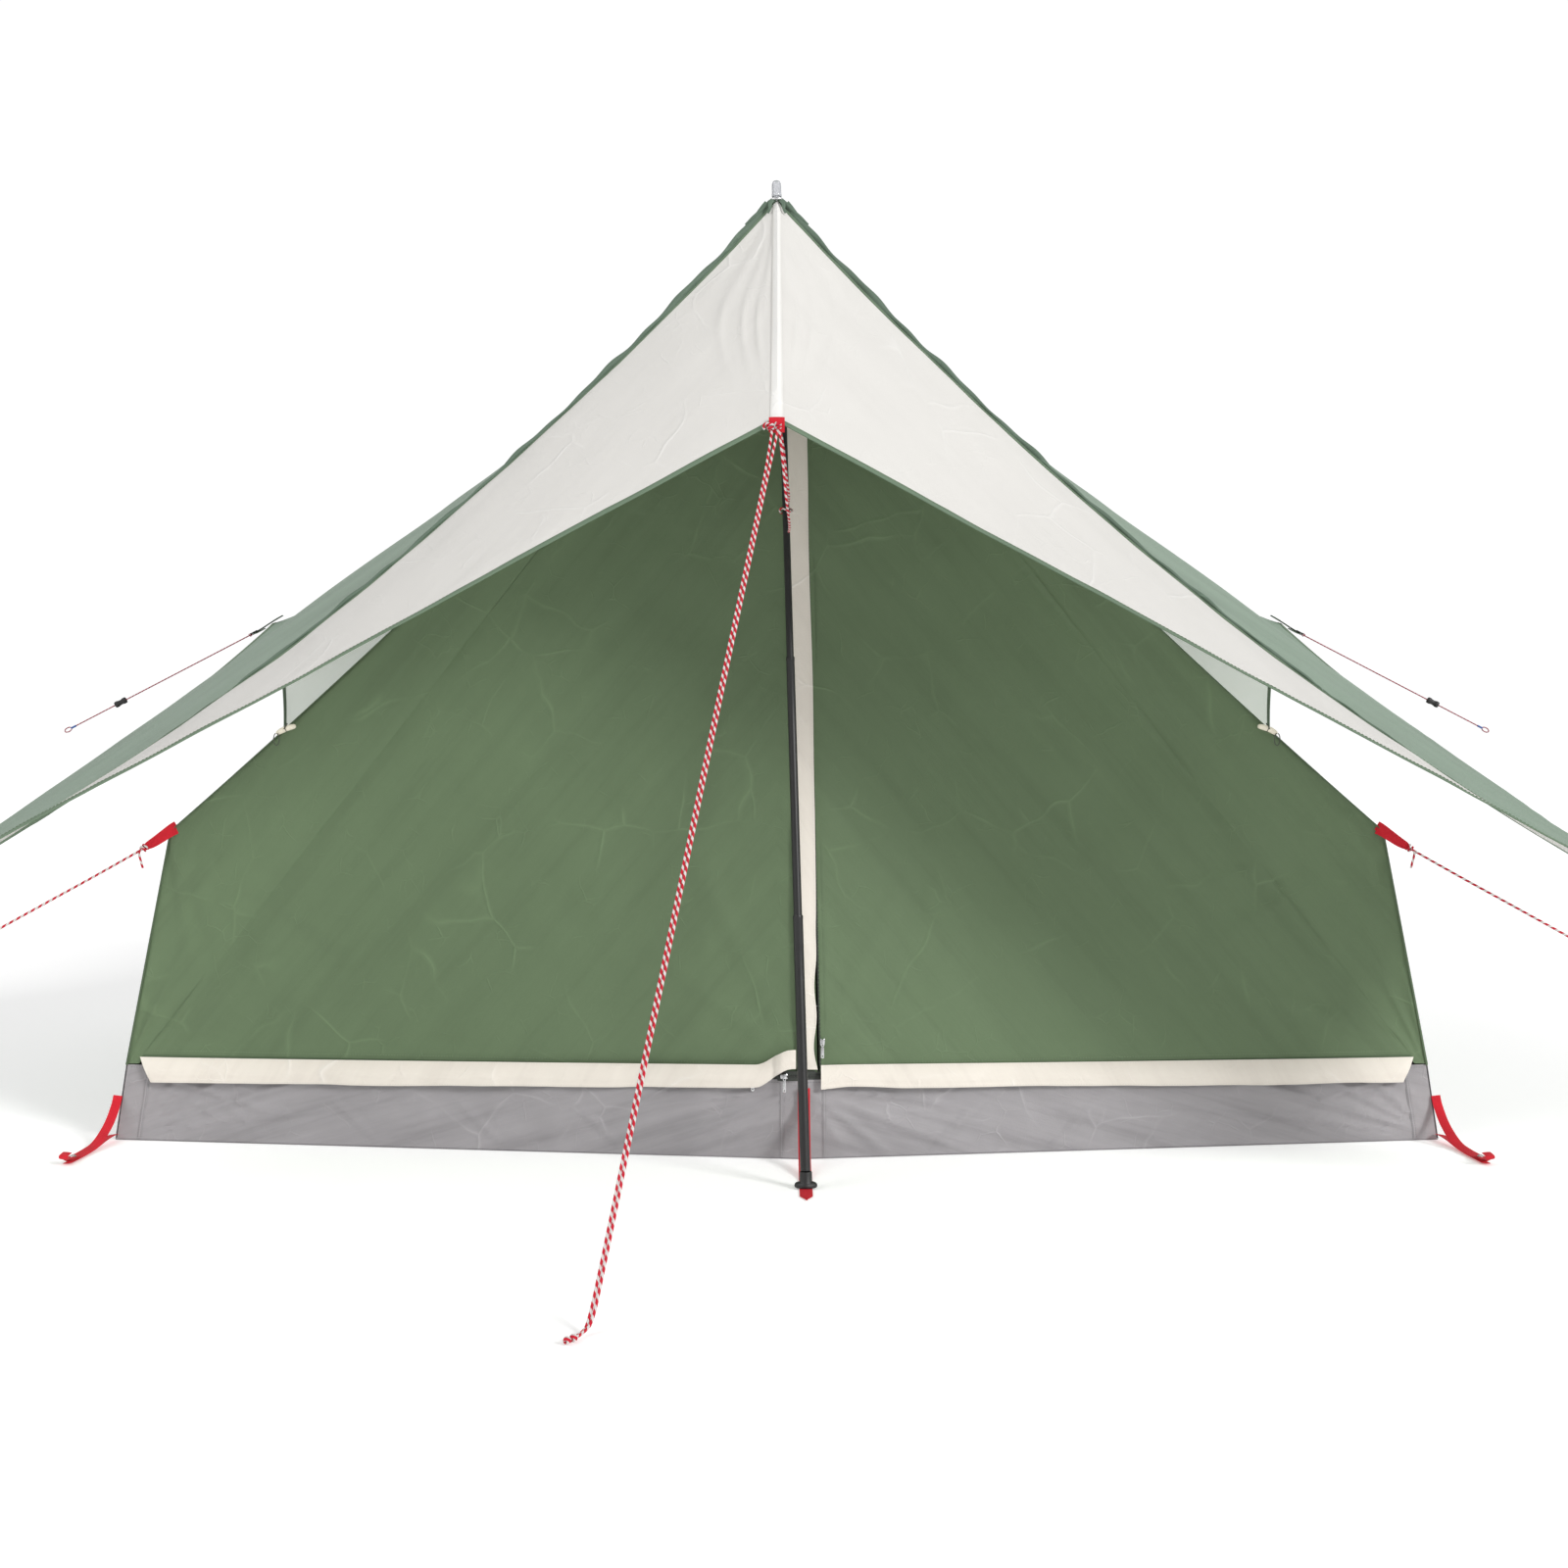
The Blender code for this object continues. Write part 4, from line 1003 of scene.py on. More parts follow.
def peak_trims():
    """Green binding folded over each peak, with a small loop each side of the middle tape, and a grommet."""
    for y_side, where in ENDS:
        peak = place(PEAK, 1, y_side)
        for x_side, side in SIDES:
            rolled_seam(f"rolled_seam_{where}_{side}", x_side, y_side)
            route = [peak + (x_side * 0.005, y_side * 0.004, -0.004),
                     peak + (x_side * 0.013, y_side * 0.008, -0.009),
                     peak + (x_side * 0.026, y_side * 0.011, -0.021),
                     peak + (x_side * 0.044, y_side * 0.012, -0.038),
                     peak + (x_side * 0.066, y_side * 0.013, -0.058)]
            tube(f"peak_roll_{where}_{side}", smooth_route(route, 36), 0.0052, ROLLED, *ON_FLY, 10,
                 taper=1.0 - 0.45 * shares(36) + 0.12 * np.sin(np.linspace(0, 11, 36)))
            route = [peak + (x_side * 0.009, y_side * 0.015, -0.006),
                     peak + (x_side * 0.014, y_side * 0.021, -0.016),
                     peak + (x_side * 0.015, y_side * 0.024, -0.028),
                     peak + (x_side * 0.019, y_side * 0.022, -0.036)]
            strap(f"peak_fold_{where}_{side}", smooth_route(route, 26), 0.01, (1, 0, 0.3 * x_side), ROLLED,
                  *ON_FLY, 0.0014, widths=1.0 - 0.5 * shares(26))
        axis = place(PEAK, 1, y_side) - place(POLE_FOOT, 1, y_side)
        turn = [(0.0117, -0.0022), (0.015, -0.0022), (0.0162, -0.0006), (0.0162, 0.0006), (0.015, 0.002),
                (0.0132, 0.003), (0.0117, 0.002)]
        lathe(f"peak_grommet_{where}", turn, pole_point(y_side, TIP_TOP - TIP_CAP_HEIGHT - 0.008), axis,
              ALLOY, *ON_METAL, 40)


def corner_patches(roofs):
    """A doubled green patch and a webbing tab at each fly corner."""
    for x_side in (LEFT, RIGHT):
        panel = roofs[x_side]
        for y_side in (FRONT, REAR):
            where = corner_name(x_side, y_side)
            start = 0.0 if y_side == FRONT else 1.0
            rows = np.linspace(1.0, 0.9, 24)
            columns = []
            for c in np.linspace(0, 0.075, 24):
                columns.append(panel.read(rows, start + (c if y_side == FRONT else -c)))
            points = np.stack([spot + normal * 0.0016 for spot, normal in columns], axis=1)
            patch = Cloth(points, (0, 0, 1))
            patch.piece(f"corner_patch_{where}", BINDING, *ON_FLY, 0.0008, flat=False)
            corner = place(FLY_CORNER, x_side, y_side)
            away = unit(np.array((x_side * 0.8, y_side * 0.42, -0.44)))
            route = smooth_route(from_spot(corner, away, [
                (-0.04, 0, 0, 0.004), (-0.01, 0, 0, 0.003), (0.018, 0, 0, 0.002), (0.026, 0, 0, 0),
                (0.018, 0, 0, -0.005), (-0.02, 0, 0, -0.006)]), 30)
            across = unit(np.cross(away, (0, 0, 1)))
            strap(f"corner_tab_{where}", route, 0.015, across, GREEN_WEB, *ON_FLY_WEB)


# ---- guy lines, with the same points as the CAD ----
SIDE_GUY = [(1.4345, 0, 1.1705), (1.53, 0, 1.1208), (1.66, 0, 1.0532), (1.786, 0, 0.9877), (1.86, 0, 0.9492),
            (1.92, 0, 0.918)]
RUNNER = (1.786, 0, 0.9877)
EAVE_GUY = [(1.336, -1.112, 0.67), (1.37, -1.13, 0.648), (1.46, -1.187, 0.59), (1.56, -1.2476, 0.5277),
            (1.66, -1.3083, 0.4651), (1.74, -1.3571, 0.4147)]
FRONT_ROPE = [(-0.003, -1.706, 1.458), (-0.023, -1.766, 1.354), (-0.056, -1.867, 1.18),
              (-0.101, -2.002, 0.945), (-0.145, -2.137, 0.71), (-0.188, -2.268, 0.48),
              (-0.23, -2.396, 0.256), (-0.262, -2.493, 0.085), (-0.276, -2.533, 0.019),
              (-0.286, -2.556, 0.0065), (-0.3, -2.59, 0.0058)]


def rope(name, path, sides=8):
    """A length of the thick guy rope, still and on the root body."""
    return tube(name, path, STRAND / 2, ROPE, *ON_CORD, sides)


def knot(name, centre, along, size, radius=STRAND / 2, finish=ROPE):
    """A stopper knot: a cord coiled round its own axis, with the ends tucked in."""
    along = unit(along)
    side = unit(np.cross(along, (0.13, 0.2, 1.0)))
    other = np.cross(along, side)
    points = []
    for t in shares(KNOT_POINTS):
        angle = math.tau * 2 * t
        reach = (size - radius) * (0.35 + 0.65 * math.sin(math.pi * t) ** 0.5)
        points.append(centre + along * (t - 0.5) * size * 1.5
                      + (side * math.cos(angle) + other * math.sin(angle)) * reach)
    return tube(name, smooth_route(points[::3] + [points[-1]], KNOT_POINTS), radius, finish, *ON_CORD, 8)


def front_rope():
    """Two strands from the beak's tab down to the ground, a step to each side of the CAD's line."""
    route = np.array(FRONT_ROPE)
    shift = np.array((0.0029, -0.0004, 0.0008))
    top = {LEFT: [(-0.0125, -1.7075, 1.47), (-0.01, -1.712, 1.4555)],
           RIGHT: [(0.0015, -1.708, 1.4715), (0.001, -1.71, 1.46)]}
    for side in (LEFT, RIGHT):
        body = route[1:-2] + shift * side
        end = [route[-2] + (side * 0.001, 0, 0), route[-1] + (side * 0.004, 0.006 * side, 0)]
        points = smooth_route(top[side] + list(body) + end, 220)
        name = "front_rope_strand" if side == LEFT else "front_rope_second_strand"
        item = rope(name, points, 12)
        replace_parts(item, "front_guy_rope")
        knot(f"rope_end_knot_{side_name(side)}", points[-1] + (0, 0, 0.0008), points[-1] - points[-4], 0.0062)


def front_tab():
    """The red tab folded over the beak's hem, its knots, and the two short ties to the pole."""
    tip = place(BEAK_TIP, 1, FRONT)
    route = smooth_route([tip + (0, 0.0005, 0.0075), tip + (0, -0.0042, 0.002), tip + (0, -0.006, -0.006),
                          tip + (0, -0.0062, -0.016), tip + (0, -0.0015, -0.0215), tip + (0, 0.004, -0.014),
                          tip + (0, 0.0085, 0.004)], 36)
    strap("beak_tab", route, 0.03, (1, 0, 0), RED, *ON_WEB)
    spots = route[4:18]
    for k, x in ((1, -0.012), (2, 0.012)):
        stitches(f"beak_tab_stitch_{k}", spots + (x, -0.0012, 0.0006),
                 np.tile((0, -1, 0.6), (len(spots), 1)), THREAD_RED, *ON_WEB, *TAB_STITCH)
    knot("rope_knot_left", np.array((-0.012, -1.7105, 1.47)), (-0.2, -0.4, -1), 0.0085)
    knot("rope_knot_right", np.array((0.002, -1.711, 1.4715)), (0.1, -0.4, -1), 0.008)
    loose = smooth_route([(-0.013, -1.712, 1.474), (-0.0185, -1.7135, 1.476), (-0.0235, -1.712, 1.4735),
                          (-0.025, -1.709, 1.469), (-0.0225, -1.708, 1.465)], 24)
    rope("rope_loose_end", loose)
    loop = smooth_route([(-0.012, -1.708, 1.47), (-0.008, -1.702, 1.474), (-0.002, -1.699, 1.4745),
                         (0.003, -1.702, 1.474), (0.003, -1.7085, 1.4715)], 26)
    rope("rope_bight", loop)
    for k, points in enumerate((
            [(0.005, -1.706, 1.47), (0.012, -1.67, 1.44), (0.0185, -1.615, 1.39),
             (0.023, -1.56, 1.365), (0.0235, -1.515, 1.356), (0.023, -1.48, 1.3535)],
            [(0.004, -1.707, 1.469), (0.011, -1.68, 1.41), (0.018, -1.63, 1.345),
             (0.0235, -1.57, 1.313), (0.025, -1.515, 1.3), (0.024, -1.486, 1.296)])):
        path = smooth_route(points, 60)
        item = rope(f"pole_tie_{k + 1}", path, 10)
    hub = pole_point(FRONT, 1.3535)
    ring = [hub + (math.cos(a) * 0.0128, math.sin(a) * 0.0128, 0.004 * math.sin(2 * a))
            for a in np.linspace(0, math.tau, 30)]
    tube("pole_tie_ring", np.array(ring), STRAND / 2 * 0.8, ROPE, *ON_CORD, 8)


def eave_guys():
    for x_side, side in SIDES:
        mirror = np.array((x_side, 1, 1))
        path = smooth_route(np.array(EAVE_GUY) * mirror, 90)
        item = rope(f"eave_line_{side}", path, 12)
        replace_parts(item, f"eave_guy_{side}")
        way = unit(path[-1] - path[-4])
        knot(f"eave_end_knot_{side}", path[-1] + way * 0.002, way, 0.0085)
        ring = [path[-1] + way * (0.022 - 0.018 * math.cos(a)) + (0, 0, 0.009 * math.sin(a))
                for a in np.linspace(0, math.tau, 34)]
        rope(f"eave_end_loop_{side}", np.array(ring))
        start = np.array(EAVE_GUY[0]) * mirror
        away = unit(np.array(EAVE_GUY[2]) * mirror - start)
        knot(f"eave_knot_{side}", start + away * 0.046, away, 0.0095)
        tail = smooth_route(from_spot(start, away, [
            (0.049, 0, 0, 0), (0.052, x_side * 0.004, -0.006, -0.006), (0.05, x_side * 0.002, -0.01, -0.022),
            (0.052, -x_side * 0.005, -0.01, -0.04)]), 22)
        rope(f"eave_knot_tail_{side}", tail)
        corner = place(EAVE, x_side, FRONT)
        across = np.array((0.0, 0.25, 1.0))
        for k, lift in ((1, 0.007), (2, -0.006)):
            sewn = from_spot(corner, away, [(-0.016, 0, -0.005 - 0.002 * k, lift * 0.6),
                                            (-0.002, 0, -0.006 - 0.002 * k, lift * 0.6)])
            tied = from_spot(start, away, [(0.018, 0, -0.004, lift * 0.5), (0.036, 0, -0.005, lift * 0.2),
                                           (0.044, 0, -0.002, -lift * 0.3)])
            route = smooth_route(sewn + tied, 34)
            strap(f"eave_tab_{side}_{k}", route, 0.021, across, RED, *ON_WEB,
                  widths=np.linspace(1.0, 0.62, 34))


def side_guys():
    """Each fly edge's strap and ladder buckle, the thin cord, its runner and the loop at its end."""
    for x_side, side in SIDES:
        mirror = np.array((x_side, 1, 1))
        path = smooth_route(np.array(SIDE_GUY) * mirror, 120)
        item = tube(f"side_line_{side}", path, THIN_STRAND / 2, THIN_ROPE, *ON_CORD, 10)
        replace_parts(item, f"side_guy_{side}")
        start = np.array((x_side * (FLY_MIDDLE_EDGE[0] - 0.03), 0, FLY_MIDDLE_EDGE[2] + 0.018))
        way = unit(np.array(SIDE_GUY[-1]) * mirror - np.array(SIDE_GUY[0]) * mirror)
        edge = place(FLY_MIDDLE_EDGE, x_side, 1)
        up = np.cross(way, (0, x_side, 0))
        up = up if up[2] > 0 else -up
        route = smooth_route([start + up * 0.004, edge + up * 0.004, edge + way * 0.03 + up * 0.001,
                              edge + way * 0.052, edge + way * 0.059 - up * 0.001,
                              edge + way * 0.052 - up * 0.003, edge + way * 0.024 - up * 0.003], 44)
        item = strap(f"side_web_{side}", route, 0.02, (0, 1, 0), GREEN_WEB, *ON_FLY_WEB)
        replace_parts(item, f"side_strap_{side}")
        for k, y in ((1, -0.0075), (2, 0.0075)):
            spots = route[2:12] + np.array((0, y, 0)) + up * 0.0008
            stitches(f"side_web_stitch_{side}_{k}", spots, np.tile(up, (len(spots), 1)), THREAD_GREEN,
                     *ON_FLY_WEB, *SIDE_WEB_STITCH)
        ladder_buckle(f"side_buckle_{side}", edge + way * 0.054, way, up)
        centre = np.array(RUNNER) * mirror
        runner = [(0.0028, -0.017), (0.006, -0.017), (0.0078, -0.016), (0.0085, -0.0135), (0.0085, -0.008),
                  (0.0074, -0.006), (0.0068, 0.0), (0.0074, 0.006), (0.0085, 0.008), (0.0085, 0.0135),
                  (0.0078, 0.016), (0.006, 0.017), (0.0028, 0.017)]
        item = lathe(f"runner_{side}", runner, centre, way, BLACK, f"runner_{side}", "runner", 32, lambda a,
                     r, h: r - 0.001 * (abs(math.sin(a)) ** 4) * (r > 0.004))
        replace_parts(item, f"guy_runner_{side}")
        tip = np.array(SIDE_GUY[-1]) * mirror
        ring = [tip + way * (0.01 - 0.01 * math.cos(a)) + up * 0.0055 * math.sin(a)
                for a in np.linspace(0, math.tau, 28)]
        tube(f"side_loop_{side}", np.array(ring), 0.0015, THIN_ROPE, *ON_CORD, 8)
        sleeve = line(tip - way * 0.014, tip + way * 0.001, 6)
        tube(f"side_sleeve_{side}", sleeve, 0.0026, BLUE, *ON_FITTING, 14)
        knot(f"side_knot_{side}", edge + way * 0.068, way, 0.0052, 0.0014, THIN_ROPE)


def ladder_buckle(name, centre, way, up):
    """A flat moulded buckle with three rungs across the strap."""
    across = np.cross(way, up)
    points, faces = [], []

    def bar(start, end, thick):
        start, end = np.asarray(start), np.asarray(end)
        along = unit(end - start)
        side = unit(np.cross(along, up))
        first = len(points)
        ring = [(math.cos(a), math.sin(a)) for a in np.arange(8) * math.tau / 8]
        for spot in (start, end):
            points.extend(spot + side * c * thick + up * s * thick * 0.8 for c, s in ring)
        faces.extend(ring_faces(2, len(ring), first=first))

    for shift in (-0.009, 0.0, 0.009):
        bar(centre + way * shift - across * 0.0135, centre + way * shift + across * 0.0135, 0.0017)
    for side in (-1, 1):
        bar(centre - way * 0.0105 + across * side * 0.0128, centre + way * 0.0105 + across * side * 0.0128,
            0.0021)
    return add_piece(name, points, faces, BLACK, *ON_FITTING, sharp=50)


# ---- the inner tent ----
def slope_edge(x_side, y_side, count):
    low, high = place(EAVE, x_side, y_side), place(APEX, x_side, y_side)
    edge = line(low, high, count)
    along = shares(count)
    edge[:, 2] -= INNER_SAG * 4 * along * (1 - along)
    return edge


def tub_line(y_side, height):
    share = height / TUB_TOP
    half = BASE_HALF_WIDTH + (TUB_TOP_HALF_WIDTH - BASE_HALF_WIDTH) * share - 0.003
    return [np.array((-half, BASE_HALF_DEPTH * y_side, height)),
            np.array((BASE_NOSE[0], (BASE_NOSE[1] - 0.003 * share) * y_side, height)),
            np.array((half, BASE_HALF_DEPTH * y_side, height))]


def seam_x(height):
    share = (height - DOOR_FOOT) / (SEAM_HEAD - DOOR_FOOT)
    return SEAM_X[0] + (SEAM_X[1] - SEAM_X[0]) * share


def leaf_y(height):
    """The door's depth beside the middle seam, at a height."""
    share = (height - DOOR_FOOT) / (LEAF_HEAD - DOOR_FOOT)
    return front_y(0.09) + (-APEX[1] + 0.003 - front_y(0.09)) * share


def front_y(x, most=1.0):
    corner, nose = TUB_TOP_HALF_WIDTH, BASE_NOSE[0]
    share = (corner - abs(x)) / (corner - nose * np.sign(x) if x else corner)
    return -(BASE_HALF_DEPTH + (BASE_NOSE[1] - 0.003 - BASE_HALF_DEPTH) * min(share, most))


def fold_line(x_side):
    foot = np.array((x_side * 1.405, -(BASE_HALF_DEPTH + 0.007), DOOR_FOOT - 0.002))
    head = np.array((x_side * 0.03, -(APEX[1] - 0.004), APEX[2] - 0.03))
    return foot, head


def wall_relief(x, z, seed):
    """Low slanting wrinkles over an end wall, with small crumples at the eaves and the tub's corners."""
    u, v = x * 0.8 + z * 0.6, z * 0.8 - x * 0.6
    relief = 0.003 * layered(u / 1.9, v, 0.3, seed, 3) + 0.0014 * layered(v / 2.2, u, 0.11, seed + 4, 2)
    size = np.abs(x)
    relief += fan(size, z, (EAVE[0], EAVE[2]), (178, 196, 214, 232, 248, 262),
                  (0.55, 0.75, 0.62, 0.5, 0.4, 0.34), 0.014, 0.004, seed + 7)
    relief += fan(size, z, (1.43, 0.175), (104, 118, 138, 156), (0.34, 0.48, 0.6, 0.5), 0.013, 0.0034,
                  seed + 9)
    relief += fan(size, z, (0.0, 1.93), (-62, -50, -41), (0.8, 1.2, 0.9), 0.02, 0.0026, seed + 12)
    relief += fan(x, z, (0.06, 0.18), (38, 62, 118, 142), (0.6, 0.75, 0.7, 0.55), 0.018, 0.003, seed + 15)
    crumple = np.exp(-((size - EAVE[0]) / 0.13) ** 2 - ((z - EAVE[2]) / 0.13) ** 2)
    return WALL_DEPTH * (relief + 0.0032 * crumple * layered(x, z, 0.035, seed + 20, 2))


def edge_calm(rows, columns, margin, floor=0.0):
    r = shares(rows)[:, None]
    c = shares(columns)[None]
    near = np.minimum(np.minimum(r, 1 - r), np.minimum(c, 1 - c))
    return floor + (1 - floor) * np.clip(near / margin, 0, 1)


def door_panels():
    for x_side, side in SIDES:
        foot, head = fold_line(x_side)
        in_foot = foot + (-x_side * 0.004, -0.0006, 0.0008)
        seam_foot = np.array((seam_x(DOOR_FOOT) + x_side * 0.0022, front_y(seam_x(DOOR_FOOT)), DOOR_FOOT))
        if x_side == LEFT:
            in_head = head + (0.003, 0.0, -0.003)
            seam_head = np.array((seam_x(SEAM_HEAD) - 0.0022, -APEX[1] + 0.003, 1.858))
        else:
            share = (1.846 - foot[2]) / (head[2] - foot[2])
            in_head = foot + (head - foot) * share + (-0.003, 0.0, 0.0)
            seam_head = np.array((seam_x(1.84) + 0.0022, -APEX[1] + 0.003, 1.84))
        rows, columns = 130, 70
        points = ruled(line(in_foot, in_head, rows), line(seam_foot, seam_head, rows), shares(columns))
        calm = edge_calm(rows, columns, 0.025)
        relief = wall_relief(points[..., 0], points[..., 2], 51) * calm
        panel = Cloth(points, (0, -1, 0), relief)
        item = panel.piece(f"leaf_{side}", INNER, f"door_{side}_leaf", "inner_cloth", held="hung")
        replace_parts(item, f"door_{side}")
        foot_line, normal = panel.read(0.0, shares(80))
        lifted, _ = panel.read(0.006, shares(80))
        edge_binding(f"leaf_hem_{side}", foot_line, normal, lifted - foot_line, 0.0095, SEAM_EDGE,
                     f"door_{side}_leaf", "inner_cloth", 0.0008)
        panel.sew(f"leaf_hem_stitch_{side}", 0.0095, shares(80), THREAD_GREEN, f"door_{side}_leaf",
                  "inner_cloth", *LEAF_STITCH)


def end_panel(name, node, x_side, y_side, lift, apex, seam, columns, margin, seed):
    """A wall from the tub's corner, up the slope's edge, to the seam given by its foot and head."""
    foot = (WALL_FOOT[0], WALL_FOOT[1], TUB_TOP + lift)
    rise = line(place(foot, x_side, y_side), place(EAVE, x_side, y_side), 22)
    outline = np.concatenate([rise[:-1], slope_edge(x_side, y_side, 62)])
    outline[-1] = apex
    steps = distances(outline)
    low, head = seam
    inner = low + (head - low) * (steps / steps[-1])[:, None]
    points = ruled(outline, inner, shares(columns))
    relief = wall_relief(points[..., 0], points[..., 2], seed) * edge_calm(points.shape[0], columns, margin)
    panel = Cloth(points, (0, y_side, 0), relief)
    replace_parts(panel.piece(name, INNER, *ON_INNER_TENT, held="hung"), node)


def gusset_panels():
    for x_side, side in SIDES:
        foot, head = fold_line(x_side)
        apex = (x_side * 0.012, -APEX[1] + 0.002, APEX[2] - 0.014)
        end_panel(f"gusset_{side}", f"door_gusset_{side}", x_side, FRONT, 0.003, apex,
                  (foot + (x_side * 0.0004, 0, -0.012), head), 26, 0.04, 51)


def rear_panels():
    low = np.array((BASE_NOSE[0], BASE_NOSE[1] - 0.003, TUB_TOP + 0.001))
    head = np.array((0, APEX[1], APEX[2] - 0.012))
    for x_side, side in SIDES:
        apex = (x_side * 0.01, APEX[1], APEX[2] - 0.014)
        end_panel(f"rear_panel_{side}", "rear_wall", x_side, REAR, 0.001, apex, (low, head), 60, 0.03, 71)
    seam = line(low + (0, 0.0015, 0.002), head + (0, 0.0015, -0.008), 60)
    strap("rear_seam", seam, 0.012, (1, 0, 0), SEAM_EDGE, *ON_INNER_TENT, 0.0012)


def side_panels():
    for x_side, side in SIDES:
        front, rear = slope_edge(x_side, FRONT, 70), slope_edge(x_side, REAR, 70)
        points = ruled(front, rear, shares(70))
        relief = 0.003 * layered(points[..., 1], points[..., 2], 0.4, 81)
        size = points[..., 2]
        relief += fan(np.abs(points[..., 1]), size, (EAVE[1], EAVE[2]), (112, 130, 150, 168),
                      (0.8, 1.0, 0.9, 0.6), 0.022, 0.005, 83)
        relief = (relief + 0.006) * edge_calm(70, 70, 0.05)
        panel = Cloth(points, (x_side, 0, 0.8), relief)
        item = panel.piece(f"inner_slope_{side}", INNER, *ON_INNER_TENT)
        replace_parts(item, f"inner_roof_{side}")
        low = line(place(WALL_FOOT, x_side, FRONT), place(WALL_FOOT, x_side, REAR), 90)
        high = line(place(EAVE, x_side, FRONT), place(EAVE, x_side, REAR), 90)
        points = ruled(low, high, shares(30))
        y, z = points[..., 1], points[..., 2]
        relief = 0.0028 * layered(y, z, 0.3, 91)
        relief += fan(np.abs(y), z, (EAVE[1], EAVE[2]), (190, 208, 226, 245), (0.8, 0.7, 0.55, 0.45), 0.02,
                      0.005, 93)
        relief += fan(np.abs(y), z, (BASE_HALF_DEPTH, TUB_TOP), (110, 132, 155), (0.4, 0.55, 0.6), 0.018,
                      0.004, 95)
        panel = Cloth(points, (x_side, 0, 0), relief * edge_calm(90, 30, 0.05))
        item = panel.piece(f"inner_side_{side}", INNER, *ON_INNER_TENT)
        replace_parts(item, f"inner_wall_{side}")


def seam_cords():
    """Folded seams along the inner tent's slopes, eaves and corners."""
    for x_side, side in SIDES:
        for y_side in (FRONT, REAR):
            where = f"{where_name(y_side)}_{side}"
            edge = slope_edge(x_side, y_side, 90)
            out = np.array((x_side * 0.35, y_side * 0.55, 0.45))
            strap(f"slope_seam_{where}", edge + unit(out) * 0.0015, 0.0085,
                  unit(np.array((x_side * 0.3, -y_side * 1.0, 0.4))), SEAM_EDGE, *ON_INNER_TENT, 0.002)
            foot = place((TUB_TOP_HALF_WIDTH - 0.002, BASE_HALF_DEPTH + 0.001, TUB_TOP), x_side, y_side)
            rise = line(foot, place(EAVE, x_side, y_side), 40)
            strap(f"corner_seam_{where}", rise + (x_side * 0.001, y_side * 0.001, 0), 0.0085,
                  (x_side, -y_side, 0), SEAM_EDGE, *ON_INNER_TENT, 0.0018)
        eave = line(place(EAVE, x_side, FRONT), place(EAVE, x_side, REAR), 60)
        strap(f"eave_seam_{side}", eave + (x_side * 0.001, 0, 0.001), 0.009, (x_side * 0.5, 0, 1), SEAM_EDGE,
              *ON_INNER_TENT, 0.0018)
    ridge = line(place(APEX, 1, FRONT), place(APEX, 1, REAR), 60)
    strap("inner_ridge_seam", ridge + (0, 0, -0.0005), 0.012, (1, 0, 0), SEAM_EDGE, *ON_INNER_TENT, 0.002)


# ---- the tub ----
def tub_relief(x, z, seed):
    relief = 0.0022 * layered(x, z * 1.6, 0.22, seed, 3) + 0.0006 * layered(x, z, 0.04, seed + 2, 2)
    size = np.abs(x)
    relief += fan(size, z, (1.45, 0.01), (172, 163, 152, 138, 120), (0.95, 0.75, 0.5, 0.3, 0.2), 0.01,
                  0.0046, seed + 5)
    relief += fan(size, z, (1.42, 0.16), (196, 209, 228), (0.5, 0.34, 0.22), 0.009, 0.0034, seed + 6)
    relief += fan(x, z, (BASE_NOSE[0] + 0.007, 0.15), (188, 203, 219, 238, 302, 321, 337, 352),
                  (0.42, 0.5, 0.34, 0.2, 0.2, 0.32, 0.46, 0.4), 0.008, 0.0046, seed + 7)
    for k, start in enumerate((0.32, 0.58, 0.86, 1.12)):
        relief += crease(size, z, (start, 0.004), (start + 0.16, 0.15), 0.01, 0.003 - 0.0003 * k)
    return TUB_DEPTH * relief


def tub_panels():
    foot = 0.002
    for y_side in (FRONT, REAR):
        low, high = tub_line(y_side, foot), tub_line(y_side, TUB_TOP + 0.001)
        for x_side in (LEFT, RIGHT):
            first, last = 1 + x_side, 1
            side = corner_name(x_side, y_side)
            points = ruled(line(low[first], low[last], 150), line(high[first], high[last], 150), shares(28))
            calm = edge_calm(150, 28, 0.08, 0.08)
            relief = tub_relief(points[..., 0], points[..., 2], 101 + 10 * y_side) * calm
            calm_nose = np.clip(np.abs(points[..., 0] - BASE_NOSE[0]) / 0.02, 0, 1)
            panel = Cloth(points, (0, y_side, 0), relief * calm_nose)
            item = panel.piece(f"tub_panel_{side}", GREY, *ON_TUB, TUB_THICK)
            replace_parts(item, f"tub_{side}" if y_side == FRONT else "tub_rear")
            tub_seams(panel, side, x_side, y_side)
    for x_side in (LEFT, RIGHT):
        low = line((x_side * BASE_HALF_WIDTH, -BASE_HALF_DEPTH, foot),
                   (x_side * BASE_HALF_WIDTH, BASE_HALF_DEPTH, foot), 120)
        high = line((x_side * TUB_TOP_HALF_WIDTH, -BASE_HALF_DEPTH, TUB_TOP + 0.001),
                    (x_side * TUB_TOP_HALF_WIDTH, BASE_HALF_DEPTH, TUB_TOP + 0.001), 120)
        points = ruled(low, high, shares(26))
        y, z = points[..., 1], points[..., 2]
        relief = 0.0022 * layered(y, z * 1.6, 0.24, 131, 3)
        relief += fan(np.abs(y), z, (BASE_HALF_DEPTH, 0.006), (172, 160, 145, 125), (0.7, 0.5, 0.32, 0.2),
                      0.01, 0.0042, 133)
        panel = Cloth(points, (x_side, 0, 0), relief * edge_calm(120, 26, 0.06))
        item = panel.piece(f"tub_side_{side_name(x_side)}", GREY, *ON_TUB, TUB_THICK)
        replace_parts(item, f"tub_{side_name(x_side)}")


